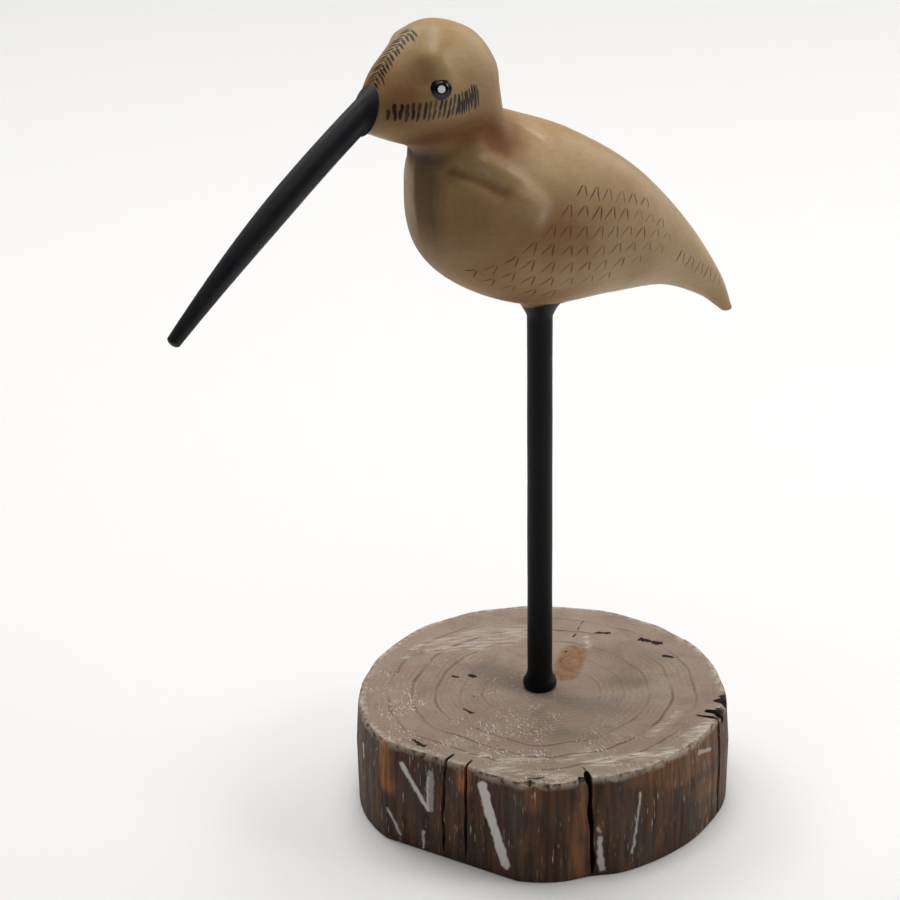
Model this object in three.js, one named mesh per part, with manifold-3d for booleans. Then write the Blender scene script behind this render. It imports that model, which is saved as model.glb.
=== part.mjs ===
// Folk-art long-billed shorebird, carved in wood, on a painted dowel set on a slice of log.
// Millimetres, +Z up. The origin is on the underside of the log slice, below the dowel's axis.
// The bird's own plane of symmetry is y = 0 and its bill points towards -X.
import * as THREE from 'three';
import { LoftGeometry } from 'three/addons/geometries/LoftGeometry.js';
import { mergeVertices } from 'three/addons/utils/BufferGeometryUtils.js';
import Module from 'manifold-3d';

const GAP = 0.3;                        // clearance between pieces that touch

// log slice
const BASE_HEIGHT = 41.5;
const BASE_CENTRE = [-2.4, -5.0];       // the dowel stands a little off the slice's middle
const LOG_RADIUS = 69.2;                // at the top edge
const LOG_BULGE = { height: 25, more: 0.9 };     // the side swells out half way up
const LOG_SPREAD = 0.4;                 // and stays a little wider at the foot
const LOG_LOBES = [                     // how far the log is from round: amplitude and direction
  { times: 1, height: 1.75, angle: 45 },
  { times: 4, height: 0.50, angle: -20 },
  { times: 5, height: 0.45, angle: 25 },
];
const AXE_FLAT = { angle: -155, distance: 61.7 };        // one side is hewn flat
const RIM_DENTS = [                     // wood drawn in beside the widest cracks
  { angle: -107.7, depth: 2.1, spread: 7 },
  { angle: -55, depth: 0.7, spread: 10 },
  { angle: -23, depth: 1.2, spread: 9 },
];
const EDGE_ROUND = 0.9;                 // worn edge at the top
const FOOT_ROUND = 0.6;                 // and at the bottom
const LOG_FACES = 108;
const CRACKS = [                        // drying cracks in the side, each a wedge that runs inwards
  { angle: -158.0, width: 1.0, depth: 7, foot: 3 },
  { angle: -149.8, width: 1.0, depth: 7, foot: 2 },
  { angle: -107.5, width: 2.2, depth: 10, foot: 1.2 },
  { angle: -49.3, width: 2.0, depth: 11, foot: -1 },
];
const RIM_CHIPS = [                     // bites out of the top edge
  { angle: -109, reach: 4.5, length: 8, depth: 3.0 },
  { angle: -127, reach: 3.0, length: 9, depth: 2.0 },
  { angle: -45.5, reach: 5.5, length: 7, depth: 3.5 },
  { angle: -37.5, reach: 4.0, length: 8, depth: 4.5 },
];

// dowel
const ROD_RADIUS = 4.7;
const ROD_FOOT = { radius: 6.4, height: 8 };    // bell-shaped foot
const ROD_HEAD = { radius: 9.4, from: 194.6 };  // flare of glue and paint against the belly
const ROD_TOP = 201.2;                  // the belly's height above the dowel's axis
const ROD_SINK = 4;                     // length that is cut away again to fit the belly
const ROD_POINTS = 24;

// Carving lines of the bird, from the tail's tip to the root of the bill. Each station joins a
// point on the back to a point on the belly, as x and z, and gives the section's half width, how
// far up the section is widest, and how sharp the keel is: 1 is round, above 1 is an edge.
const STATIONS = [
  { back: [85.4, 178.7], belly: [80.4, 178.3], half: 1.4, widest: 0.50, keel: 1.00 },      // tail tip
  { back: [78.8, 194.4], belly: [69.5, 187.1], half: 5.6, widest: 0.50, keel: 1.00 },      // tail
  { back: [62.6, 219.5], belly: [50.6, 195.9], half: 11.9, widest: 0.50, keel: 1.00 },     // tail root
  { back: [39.6, 245.4], belly: [24.7, 199.1], half: 20.1, widest: 0.48, keel: 1.00 },     // rump
  { back: [12.9, 264.6], belly: [-5.5, 201.7], half: 25.9, widest: 0.48, keel: 1.00 },     // middle
  { back: [-9.2, 275.2], belly: [-30.8, 212.7], half: 28.5, widest: 0.48, keel: 1.00 },    // shoulders
  { back: [-18.0, 278.9], belly: [-47.1, 227.3], half: 27.4, widest: 0.48, keel: 1.00 },   // breast
  { back: [-19.5, 282.0], belly: [-51.7, 246.7], half: 22.9, widest: 0.45, keel: 1.15 },   // upper breast
  { back: [-19.2, 286.5], belly: [-52.2, 260.8], half: 18.4, widest: 0.42, keel: 1.30 },   // neck
  { back: [-19.6, 291.9], belly: [-51.5, 267.3], half: 16.7, widest: 0.42, keel: 1.25 },   // throat
  { back: [-21.0, 300.1], belly: [-53.3, 270.6], half: 16.4, widest: 0.42, keel: 1.10 },   // back of head
  { back: [-29.5, 311.1], belly: [-56.7, 273.5], half: 17.2, widest: 0.45, keel: 1.00 },   // hind crown
  { back: [-45.5, 316.5], belly: [-63.3, 276.5], half: 17.0, widest: 0.50, keel: 1.00 },   // crown
  { back: [-60.1, 307.6], belly: [-69.3, 279.5], half: 12.8, widest: 0.50, keel: 1.00 },   // forehead
  { back: [-68.7, 295.8], belly: [-73.9, 281.9], half: 7.6, widest: 0.50, keel: 1.00 },    // bill root
];
const TAIL_ROUND = 2.0;                 // how far the rounded tip runs past the last station
const ROWS_PER_STATION = 5;
const SECTION_POINTS = 36;

// Gouge work on both sides of the bird: each is a soft furrow (depth above 0) or ridge (below 0)
// between two points of the side view, as x and z.
const GOUGES = [
  { from: [-66, 292], to: [-56, 304], spread: 6.0, depth: 1.5 },      // before and above the eye
  { from: [-39, 278], to: [-34, 276], spread: 6.5, depth: 2.0 },      // hollow side of the neck
  { from: [-35, 273], to: [-15, 252], spread: 3.6, depth: -0.9 },     // front edge of the wing
  { from: [-45, 269], to: [-27, 259], spread: 3.6, depth: 1.1 },      // furrow before that edge
];

// bill
const BILL_BEND = [-111.4, 259.7];
const BILL_TIP = [-149.1, 220.9];
const BILL_RADIUS = 5.06;
const BILL_TIP_RADIUS = 2.6;
const BILL_TIP_ROUND = 1.6;             // how far the blunt end runs past the last full section
const BILL_TAPER = [0.36, 1.44];        // shares of the length where the taper starts and would end
const BILL_BLEND = 0.14;                // share of the length that turns from the face's plane
const BILL_FLARE = 0.04;                // share of the length where paint and glue widen the root
const BILL_ROWS = 22;
const BILL_POINTS = 20;

// eyes
const EYE_PLACE = [-51.1, 16.6, 298.0]; // where the bead's axis meets the head
const EYE_FORWARD = 22;                 // degrees that the eye looks forward of sideways
const EYE_UP = 16;                      // degrees that it looks up
const EYE_RADIUS = 3.8;
const EYE_DOME = 1.3;
const EYE_BAND = 0.35;                  // height of the bead's straight edge above the head
const EYE_SET = 0.9;                    // how deep the bead is set into the head

const wasm = await Module();
wasm.setup();

const radians = THREE.MathUtils.degToRad;

// A closed geometry as a solid that can be cut: corners shared, faces without area left out.
function solid(geometry) {
  const bare = new THREE.BufferGeometry();
  bare.setAttribute('position', geometry.attributes.position);
  bare.setIndex(geometry.index);
  const shared = mergeVertices(bare, 1e-4);
  const index = shared.index.array;
  const corners = [];
  for (let i = 0; i < index.length; i += 3) {
    const [a, b, c] = [index[i], index[i + 1], index[i + 2]];
    if (a !== b && b !== c && c !== a) corners.push(a, b, c);
  }
  return new wasm.Manifold(new wasm.Mesh({
    numProp: 3,
    vertProperties: new Float32Array(shared.attributes.position.array),
    triVerts: new Uint32Array(corners),
  }));
}

function geometryOf(body) {
  const mesh = body.getMesh();
  const geometry = new THREE.BufferGeometry();
  geometry.setAttribute('position', new THREE.BufferAttribute(mesh.vertProperties.slice(), 3));
  geometry.setIndex(new THREE.BufferAttribute(mesh.triVerts.slice(), 1));
  geometry.computeVertexNormals();
  return geometry;
}

function piece(name, geometry, color, roughness, metalness = 0) {
  const mesh = new THREE.Mesh(geometry, new THREE.MeshStandardMaterial({ color, roughness, metalness }));
  mesh.name = name;
  return mesh;
}

// LOG SLICE
// Radius of the log's outline at an angle in radians.
function logRadius(angle) {
  let radius = LOG_RADIUS;
  for (const lobe of LOG_LOBES) {
    radius += lobe.height * Math.cos(lobe.times * (angle - radians(lobe.angle)));
  }
  for (const dent of RIM_DENTS) {
    const away = angle - radians(dent.angle);
    const offset = THREE.MathUtils.radToDeg(Math.atan2(Math.sin(away), Math.cos(away)));
    radius -= dent.depth * Math.exp(-((offset / dent.spread) ** 2));
  }
  const facing = Math.cos(angle - radians(AXE_FLAT.angle));
  return facing > 0.5 ? Math.min(radius, AXE_FLAT.distance / facing) : radius;
}

function logSlice() {
  const side = LOG_RADIUS;
  const foot = LOG_RADIUS + LOG_SPREAD;
  const profile = [
    new THREE.Vector2(0, 0),
    new THREE.Vector2(foot - FOOT_ROUND, 0),
    new THREE.Vector2(foot, FOOT_ROUND),
    new THREE.Vector2(side + LOG_BULGE.more, LOG_BULGE.height),
    new THREE.Vector2(side, BASE_HEIGHT - EDGE_ROUND),
    new THREE.Vector2(side - EDGE_ROUND * 0.35, BASE_HEIGHT - EDGE_ROUND * 0.35),
    new THREE.Vector2(side - EDGE_ROUND, BASE_HEIGHT),
    new THREE.Vector2(0, BASE_HEIGHT),
  ];
  const slice = new THREE.LatheGeometry(profile, LOG_FACES).rotateX(Math.PI / 2);
  const place = slice.attributes.position;
  for (let i = 0; i < place.count; i++) {
    const x = place.getX(i);
    const y = place.getY(i);
    const scale = logRadius(Math.atan2(y, x)) / LOG_RADIUS;
    place.setXY(i, x * scale, y * scale);
  }
  return slice;
}

// A wedge that opens at the rim and closes towards the heart, up through the top face.
function crackWedge({ angle, width, depth, foot }) {
  const rim = logRadius(radians(angle));
  const open = 3;
  const shape = new THREE.Shape();
  const widthOutside = width * (depth + open) / depth;
  shape.moveTo(rim - depth, 0);
  shape.lineTo(rim + open, -widthOutside / 2);
  shape.lineTo(rim + open, widthOutside / 2);
  shape.closePath();
  const wedge = new THREE.ExtrudeGeometry(shape, { depth: BASE_HEIGHT + 4, bevelEnabled: false });
  return wedge.translate(0, 0, foot).rotateZ(radians(angle));
}

// A bite out of the top edge: half an ellipsoid lying along the rim.
function rimChip({ angle, reach, length, depth }) {
  const rim = logRadius(radians(angle));
  const bite = new THREE.SphereGeometry(1, 12, 8).scale(reach, length / 2, depth);
  return bite.translate(rim, 0, BASE_HEIGHT).rotateZ(radians(angle));
}

let slice = solid(logSlice());
for (const crack of CRACKS) slice = slice.subtract(solid(crackWedge(crack)));
for (const chip of RIM_CHIPS) slice = slice.subtract(solid(rimChip(chip)));

// BIRD
const backLine = new THREE.CatmullRomCurve3(
  STATIONS.map(({ back, half }) => new THREE.Vector3(back[0], half, back[1])), false, 'catmullrom', 0.5);
const bellyLine = new THREE.CatmullRomCurve3(
  STATIONS.map(({ belly, half }) => new THREE.Vector3(belly[0], half, belly[1])), false, 'catmullrom', 0.5);
const formLine = new THREE.CatmullRomCurve3(
  STATIONS.map(({ widest, keel }) => new THREE.Vector3(widest, keel, 0)), false, 'catmullrom', 0.5);

// Moves a point of the bird's side in or out by the gouge work.
function gouged(point, half) {
  let depth = 0;
  for (const gouge of GOUGES) {
    const start = new THREE.Vector2(...gouge.from);
    const run = new THREE.Vector2(...gouge.to).sub(start);
    const here = new THREE.Vector2(point.x, point.z).sub(start);
    const along = THREE.MathUtils.clamp(here.dot(run) / run.lengthSq(), 0, 1);
    const away = here.addScaledVector(run, -along).length();
    depth += gouge.depth * Math.exp(-((away / gouge.spread) ** 2));
  }
  point.y -= depth * point.y / half;
  return point;
}

// One closed section: over the back, down the near side, under the keel and up the far side.
function section(share, shrink = 1) {
  const back = backLine.getPoint(share);
  const belly = bellyLine.getPoint(share);
  const form = formLine.getPoint(share);
  const middle = back.clone().lerp(belly, 0.5);
  const half = back.y;
  const points = [];
  for (let i = 0; i < SECTION_POINTS; i++) {
    const turn = Math.PI / 2 - (2 * Math.PI * i) / SECTION_POINTS;
    const rise = Math.sin(turn);
    const spread = Math.cos(turn);
    const height = form.x + rise * (rise > 0 ? 1 - form.x : form.x);
    const edge = rise > 0 ? 1 : form.y;
    const point = belly.clone().lerp(back, height);
    point.y = half * Math.sign(spread) * Math.abs(spread) ** edge;
    gouged(point, half);
    middle.y = 0;
    points.push(point.sub(middle).multiplyScalar(shrink).add(middle));
  }
  return points;
}

function carving() {
  const rows = [];
  const tail = backLine.getPoint(0).lerp(bellyLine.getPoint(0), 0.5);
  const inner = backLine.getPoint(0.05).lerp(bellyLine.getPoint(0.05), 0.5);
  const outwards = tail.sub(inner).setY(0).normalize();
  for (const turn of [80, 55, 28]) {
    const step = outwards.clone().multiplyScalar(TAIL_ROUND * Math.sin(radians(turn)));
    rows.push(section(0, Math.cos(radians(turn))).map((point) => point.add(step)));
  }
  const count = (STATIONS.length - 1) * ROWS_PER_STATION;
  for (let i = 0; i <= count; i++) rows.push(section(i / count));
  return new LoftGeometry(rows, { capStart: true, capEnd: true });
}

// EYES
// Turns a shape made along +Z onto the eye's axis: side is -1 on the near side and 1 on the far.
function onEyeAxis(geometry, side) {
  const forward = radians(EYE_FORWARD);
  const up = radians(EYE_UP);
  const axis = new THREE.Vector3(
    -Math.sin(forward) * Math.cos(up), side * Math.cos(forward) * Math.cos(up), Math.sin(up));
  const turn = new THREE.Quaternion().setFromUnitVectors(new THREE.Vector3(0, 0, 1), axis);
  const place = new THREE.Vector3(EYE_PLACE[0], side * EYE_PLACE[1], EYE_PLACE[2]);
  return geometry.applyQuaternion(turn).translate(place.x, place.y, place.z);
}

function eyeBead() {
  const dome = new THREE.QuadraticBezierCurve(
    new THREE.Vector2(EYE_RADIUS, EYE_BAND),
    new THREE.Vector2(EYE_RADIUS * 0.72, EYE_BAND + EYE_DOME),
    new THREE.Vector2(0, EYE_BAND + EYE_DOME));
  const profile = [
    new THREE.Vector2(0, -EYE_SET),
    new THREE.Vector2(EYE_RADIUS, -EYE_SET),
    ...dome.getPoints(5),
  ];
  return new THREE.LatheGeometry(profile, 20).rotateX(Math.PI / 2);
}

function eyeSocket() {
  const depth = 8;
  const socket = new THREE.CylinderGeometry(EYE_RADIUS + GAP, EYE_RADIUS + GAP, depth, 20);
  return socket.rotateX(Math.PI / 2).translate(0, 0, depth / 2 - EYE_SET - GAP);
}

let bird = solid(carving());
for (const side of [-1, 1]) bird = bird.subtract(solid(onEyeAxis(eyeSocket(), side)));

// DOWEL
function dowel() {
  const top = ROD_TOP + ROD_SINK;
  const foot = new THREE.CubicBezierCurve(
    new THREE.Vector2(ROD_FOOT.radius, BASE_HEIGHT + GAP + 1.6),
    new THREE.Vector2(ROD_FOOT.radius, BASE_HEIGHT + ROD_FOOT.height * 0.55),
    new THREE.Vector2(ROD_RADIUS, BASE_HEIGHT + ROD_FOOT.height * 0.5),
    new THREE.Vector2(ROD_RADIUS, BASE_HEIGHT + ROD_FOOT.height));
  const head = new THREE.QuadraticBezierCurve(
    new THREE.Vector2(ROD_RADIUS, ROD_HEAD.from),
    new THREE.Vector2(ROD_RADIUS + 0.3, ROD_HEAD.from + 2.4),
    new THREE.Vector2(ROD_HEAD.radius, ROD_TOP + 1.8));
  const profile = [
    new THREE.Vector2(0, BASE_HEIGHT + GAP),
    new THREE.Vector2(ROD_FOOT.radius - 0.5, BASE_HEIGHT + GAP),
    ...foot.getPoints(6),
    ...head.getPoints(5),
    new THREE.Vector2(ROD_HEAD.radius, top),
    new THREE.Vector2(0, top),
  ];
  return new THREE.LatheGeometry(profile, ROD_POINTS).rotateX(Math.PI / 2);
}

const rod = solid(dowel()).subtract(solid(carving().translate(0, 0, -GAP)));

// BILL
function bill() {
  const last = STATIONS[STATIONS.length - 1];
  const face = new THREE.Vector2(last.back[0] - last.belly[0], last.back[1] - last.belly[1]).normalize();
  const root = new THREE.Vector3(
    (last.back[0] + last.belly[0]) / 2 - face.y * GAP, 0, (last.back[1] + last.belly[1]) / 2 + face.x * GAP);
  const path = new THREE.QuadraticBezierCurve3(
    root, new THREE.Vector3(BILL_BEND[0], 0, BILL_BEND[1]), new THREE.Vector3(BILL_TIP[0], 0, BILL_TIP[1]));
  const rows = [];
  const addRow = (share, width, forwards) => {
    const centre = path.getPoint(share);
    const ahead = path.getTangent(share);
    const over = new THREE.Vector3(ahead.z, 0, -ahead.x);
    const turned = THREE.MathUtils.clamp(1 - share / BILL_BLEND, 0, 1) ** 2;
    const flared = THREE.MathUtils.clamp(1 - share / BILL_FLARE, 0, 1) ** 2;
    const lean = (over.x * face.y - over.z * face.x) / (ahead.x * face.y - ahead.z * face.x);
    const points = [];
    for (let i = 0; i < BILL_POINTS; i++) {
      const turn = (2 * Math.PI * i) / BILL_POINTS;
      const rise = width * Math.cos(turn);
      const point = centre.clone().addScaledVector(over, rise);
      point.addScaledVector(ahead, forwards - rise * lean * turned);
      point.y = Math.sin(turn) * THREE.MathUtils.lerp(width, last.half, flared);
      points.push(point);
    }
    rows.push(points);
  };
  const fullTaper = THREE.MathUtils.smoothstep(1, ...BILL_TAPER);
  for (let i = 0; i <= BILL_ROWS; i++) {
    const share = (i / BILL_ROWS) ** 1.25;
    const taper = THREE.MathUtils.smoothstep(share, ...BILL_TAPER) / fullTaper;
    addRow(share, THREE.MathUtils.lerp(BILL_RADIUS, BILL_TIP_RADIUS, taper), 0);
  }
  for (const turn of [35, 62, 82]) {
    addRow(1, BILL_TIP_RADIUS * Math.cos(radians(turn)), BILL_TIP_ROUND * Math.sin(radians(turn)));
  }
  return new LoftGeometry(rows, { capStart: true, capEnd: true });
}

const group = new THREE.Group();
group.name = 'shorebird_figurine';

const base = piece('base', geometryOf(slice), 0x8f8172, 0.9);
base.position.set(BASE_CENTRE[0], BASE_CENTRE[1], 0);
group.add(base);
group.add(piece('rod', geometryOf(rod), 0x15161a, 0.5));
group.add(piece('body', geometryOf(bird), 0x957a55, 0.42));
group.add(piece('bill', geometryOf(solid(bill())), 0x15161a, 0.45));
for (const [name, side] of [['eye_left', -1], ['eye_right', 1]]) {
  group.add(piece(name, geometryOf(solid(onEyeAxis(eyeBead(), side))), 0x08090b, 0.12));
}

export default group;
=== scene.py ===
import math

import bpy
import numpy as np
from mathutils import Matrix, Vector
from mathutils.bvhtree import BVHTree


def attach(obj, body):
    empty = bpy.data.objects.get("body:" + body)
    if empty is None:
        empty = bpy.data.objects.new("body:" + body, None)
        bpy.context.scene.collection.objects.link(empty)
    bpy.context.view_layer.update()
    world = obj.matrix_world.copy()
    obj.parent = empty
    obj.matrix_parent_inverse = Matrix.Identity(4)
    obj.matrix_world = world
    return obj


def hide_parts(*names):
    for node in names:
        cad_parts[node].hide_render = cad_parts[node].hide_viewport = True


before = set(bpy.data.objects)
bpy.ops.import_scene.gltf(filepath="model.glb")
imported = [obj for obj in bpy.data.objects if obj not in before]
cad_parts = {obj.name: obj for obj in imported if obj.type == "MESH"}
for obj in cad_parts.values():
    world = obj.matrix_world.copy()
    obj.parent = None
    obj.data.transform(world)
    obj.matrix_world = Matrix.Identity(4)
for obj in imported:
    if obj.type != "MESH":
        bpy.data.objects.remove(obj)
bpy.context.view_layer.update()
bpy.context.scene.view_settings.view_transform = "Standard"


# LOG SLICE
# A round cut across a thin trunk and left to dry, so its rim split in four places and crumbled
# beside the splits. The sawn top is rubbed with thin whitewash; the side, bared of its bark,
# has a dark stain, runs of whitewash and orange heart colour where the stain is worn.

MM = 0.001                         # the sizes in this file are millimetres
# Programs that fitted the photographed outline gave the height, the centre, the lobes, the angle of
# the hewn flat and the dents at -107.7 and -23 degrees, all rounded here. They also gave the first
# values of the radius, the spread and the flat's distance, which were changed later. Most cracks and
# chips were picked in the photograph, and a ray cast at the slice gave their angles.
LOG_HEIGHT = 41.5
LOG_CENTRE = (-2.4, -5.0)
LOG_RADIUS = 69.2                  # at the top edge
LOG_BULGE = (25, 0.9)              # the side swells out by this much at this height
LOG_SPREAD = 0.4                   # and stays a little wider at the foot
LOG_LOBES = [(1, 1.75, 45), (4, 0.50, -20), (5, 0.45, 25)]       # times round, height, angle
RIM_DENTS = [(-107.7, 2.1, 7), (-55, 0.7, 10), (-23, 1.2, 9)]    # angle, depth, spread
AXE_FLAT = (-155, 61.7)            # angle and distance of the side that is hewn flat
EDGE_WEAR = (0.8, 1.6)             # the top edge is rounded by this much, here less, there more
FOOT_ROUND = 0.6
CRACKS = [                         # angle, width at the rim, depth, height of the foot, wander
    (-158.0, 1.0, 7, 3, 0.4), (-149.8, 1.0, 7, 2, 0.3),
    (-107.5, 1.6, 6.5, 1.2, 0.5), (-49.3, 1.8, 10, -1, 0.4)]
RIM_CHIPS = [                      # angle, reach inwards, length along the rim, depth
    (-109, 3.4, 6, 1.8), (-127, 2.2, 7, 1.2), (-45.5, 5.5, 7, 3.5), (-37.5, 4.0, 8, 4.5)]
COLUMN_STEP = 0.75                 # degrees between the mesh's columns
CRACK_STEP, CRACK_REACH = 0.11, 2.2        # and beside a crack, as far as this
FOOT_ROWS = 16                     # rows of the mesh on the underside
SIDE_ROWS = 44
EDGE_ROWS = 7


def log_radius(angle):
    """Radius of the slice's outline at angles in degrees."""
    radius = np.full_like(angle, LOG_RADIUS)
    for times, height, at in LOG_LOBES:
        radius += height * np.cos(np.radians(times * (angle - at)))
    for at, depth, spread in RIM_DENTS:
        radius -= depth * np.exp(-((turn_from(at, angle) / spread) ** 2))
    facing = np.cos(np.radians(angle - AXE_FLAT[0]))
    hewn = AXE_FLAT[1] / np.maximum(facing, 0.5)
    return np.where(facing > 0.5, np.minimum(radius, hewn), radius)


def turn_from(at, angle):
    return (angle - at + 180) % 360 - 180


def ripple(seed, angle, height, lengths, amount):
    """Soft unevenness round the slice: waves of these lengths round the rim and up the side."""
    random = np.random.default_rng(seed)
    total = np.zeros(np.broadcast(angle, height).shape)
    for _ in range(14):
        round_rim = 2 * math.pi * LOG_RADIUS / (lengths[0] * random.uniform(0.6, 1.8))
        up_side = 2 * math.pi / (lengths[1] * random.uniform(0.6, 1.8))
        total += np.sin(round(round_rim) * np.radians(angle) + up_side * height + random.uniform(0, 7))
    return total * amount / math.sqrt(7)


def grid_mesh(name, rows, smooth_below=40):
    """A closed skin through rows of points, each row a ring, with a pole closing either end."""
    count, across = rows.shape[:2]
    points = np.vstack([rows.reshape(-1, 3), rows[0].mean(0), rows[-1].mean(0)])
    i, j = np.meshgrid(np.arange(count - 1), np.arange(across), indexing="ij")
    k = (j + 1) % across
    quads = np.stack([i * across + j, i * across + k, (i + 1) * across + k, (i + 1) * across + j], -1)
    first, last = count * across, count * across + 1
    ring = np.arange(across)
    after = (ring + 1) % across
    top = (count - 1) * across
    faces = [*quads.reshape(-1, 4).tolist(),
             *np.stack([after, ring, np.full(across, first)], -1).tolist(),
             *np.stack([top + ring, top + after, np.full(across, last)], -1).tolist()]
    mesh = bpy.data.meshes.new(name)
    mesh.from_pydata((points * MM).tolist(), [], faces)
    mesh.update()
    mesh.shade_smooth()
    mesh.set_sharp_from_angle(angle=math.radians(smooth_below))
    piece = bpy.data.objects.new(name, mesh)
    bpy.context.scene.collection.objects.link(piece)
    return piece


def write_attribute(piece, name, kind, values):
    """Keeps a number or three per corner point, for the material to read."""
    layer = piece.data.attributes.new(name, kind, "POINT")
    layer.data.foreach_set("value" if kind == "FLOAT" else "vector", np.ravel(values).astype(np.float32))


columns = set(np.arange(-180, 180, COLUMN_STEP).round(3))
for at, *_ in CRACKS:
    columns |= set(np.arange(at - CRACK_REACH, at + CRACK_REACH, CRACK_STEP).round(3))
angle = np.array(sorted(columns))
rim = log_radius(angle)
worn_more = np.clip(0.5 + ripple(3, angle, 0.0, (22, 40), 0.6), 0, 1)
wear = EDGE_WEAR[0] + (EDGE_WEAR[1] - EDGE_WEAR[0]) * worn_more

drop, inset = [], []               # of each row of points: how far below the top, how far inside the rim
under_foot = LOG_HEIGHT - FOOT_ROUND
side_heights = [0, FOOT_ROUND, LOG_BULGE[0], LOG_HEIGHT]
side_swells = [LOG_SPREAD, LOG_SPREAD, LOG_BULGE[1], 0]
for share in np.linspace(0.02, 1, FOOT_ROWS):
    drop.append(np.full_like(angle, LOG_HEIGHT))
    inset.append(LOG_RADIUS - share * (LOG_RADIUS + LOG_SPREAD - FOOT_ROUND) + 0 * angle)
for turn in np.radians([22, 45, 68]):
    drop.append(np.full_like(angle, LOG_HEIGHT - FOOT_ROUND * (1 - math.cos(turn))))
    inset.append(FOOT_ROUND * (1 - math.sin(turn)) - LOG_SPREAD + 0 * angle)
for share in np.linspace(0, 1, SIDE_ROWS):
    down = under_foot + (wear - under_foot) * share
    drop.append(down)
    inset.append(-np.interp(LOG_HEIGHT - down, side_heights, side_swells))
for turn in np.radians(np.linspace(0, 90, EDGE_ROWS + 2)[1:-1]):
    drop.append(wear * (1 - math.sin(turn)))
    inset.append(wear * (1 - math.cos(turn)))
TOP_FIRST = len(drop)
for step in np.concatenate([np.arange(0, 9, 0.6), np.arange(9, 22, 1.1), np.linspace(22, 67, 24)]):
    drop.append(np.zeros_like(angle))
    inset.append(wear + step * (LOG_RADIUS - 2) / LOG_RADIUS)
drop, inset = np.array(drop), np.array(inset)
height = LOG_HEIGHT - drop

cracked = np.zeros_like(drop)      # how deep each point lies in a crack, as a share
cut = np.zeros_like(drop)
for seed, (at, width, depth, foot, wander) in enumerate(CRACKS):
    sway = wander * np.sin(height / 9 + seed * 2) + wander * 0.4 * np.sin(height / 2.3 + seed)
    across = np.radians(turn_from(at, angle)) * rim + sway - wander * np.sin(LOG_HEIGHT / 9 + seed * 2)
    gape = width / 2 * (1.15 + 0.25 * np.sin(height / 3.1 + seed * 3))
    gape = gape * np.clip((height - foot) / 5, 0, 1) ** 0.5
    share = np.clip(1 - np.abs(across) / np.maximum(gape, 0.01), 0, 1) ** 0.75
    cut = np.maximum(cut, depth * share)
    cracked = np.maximum(cracked, share * np.clip(1.2 - np.maximum(inset, 0) / (0.8 * depth), 0, 1))
on_rim = np.clip(1 - np.maximum(inset, 0) / 6, 0, 1)
fibres = ripple(5, angle, height, (3.5, 60), 0.09) + ripple(6, angle, height, (11, 90), 0.16)
fibres *= np.clip(drop / 3, 0, 1) * np.clip(height / 2, 0, 1)

for seed, (at, reach, length, depth) in enumerate(RIM_CHIPS):
    along = np.radians(turn_from(at, angle)) * rim / (length / 2)
    ragged = 1 + 0.35 * np.sin(along * 5 + seed) + 0.2 * np.sin(along * 13)
    bite = np.sqrt(np.clip(1 - along ** 2, 0, 1)) * ragged
    bite = np.clip(bite, 1e-3, None)
    size = np.hypot(inset / (reach * bite), drop / (depth * bite))
    inside = (size < 1) & (np.abs(along) < 1)
    stretch = np.where(inside, 1 / np.maximum(size, 0.05), 1)
    inset, drop = inset * stretch, drop * stretch
    cracked = np.maximum(cracked, np.where(inside, 0.35 * (1 - size), 0))
height = LOG_HEIGHT - drop

share = 1 - (inset + cut * on_rim - 0.5 * fibres) / LOG_RADIUS
share = np.maximum(share, 0.004)
radius = share * rim
top_noise = ripple(8, angle, inset * 3, (14, 22), 0.05) * (drop < 0.01) * np.clip(inset / 4, 0, 1)
x = LOG_CENTRE[0] + radius * np.cos(np.radians(angle))
y = LOG_CENTRE[1] + radius * np.sin(np.radians(angle))
log_slice = grid_mesh("log_slice", np.stack([x, y, np.maximum(height + top_noise, 0)], -1))
write_attribute(log_slice, "crack", "FLOAT", np.append(cracked, [0, 0]))
write_attribute(log_slice, "ring_mm", "FLOAT", np.append(share * LOG_RADIUS, [0, 0]))


def add(tree, kind, inputs=None, **settings):
    """Adds a node. Settings are the node's own; inputs go to its sockets by name or number."""
    node = tree.nodes.new(kind)
    for name, value in settings.items():
        setattr(node, name, value)
    for name, value in (inputs or {}).items():
        if isinstance(value, bpy.types.Node):
            value = value.outputs[0]
        if isinstance(value, bpy.types.NodeSocket):
            tree.links.new(value, node.inputs[name])
        else:
            node.inputs[name].default_value = value
    return node


def paint(colour):
    """An sRGB hex colour as the linear colour that a node takes."""
    parts = [int(colour[i:i + 2], 16) / 255 for i in (1, 3, 5)]
    return (*(c / 12.92 if c <= 0.04045 else ((c + 0.055) / 1.055) ** 2.4 for c in parts), 1.0)


def material(name):
    """An empty material with its output node."""
    made = bpy.data.materials.new(name)
    made.use_nodes = True
    made.node_tree.nodes.clear()
    return made, made.node_tree, add(made.node_tree, "ShaderNodeOutputMaterial")


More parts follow.
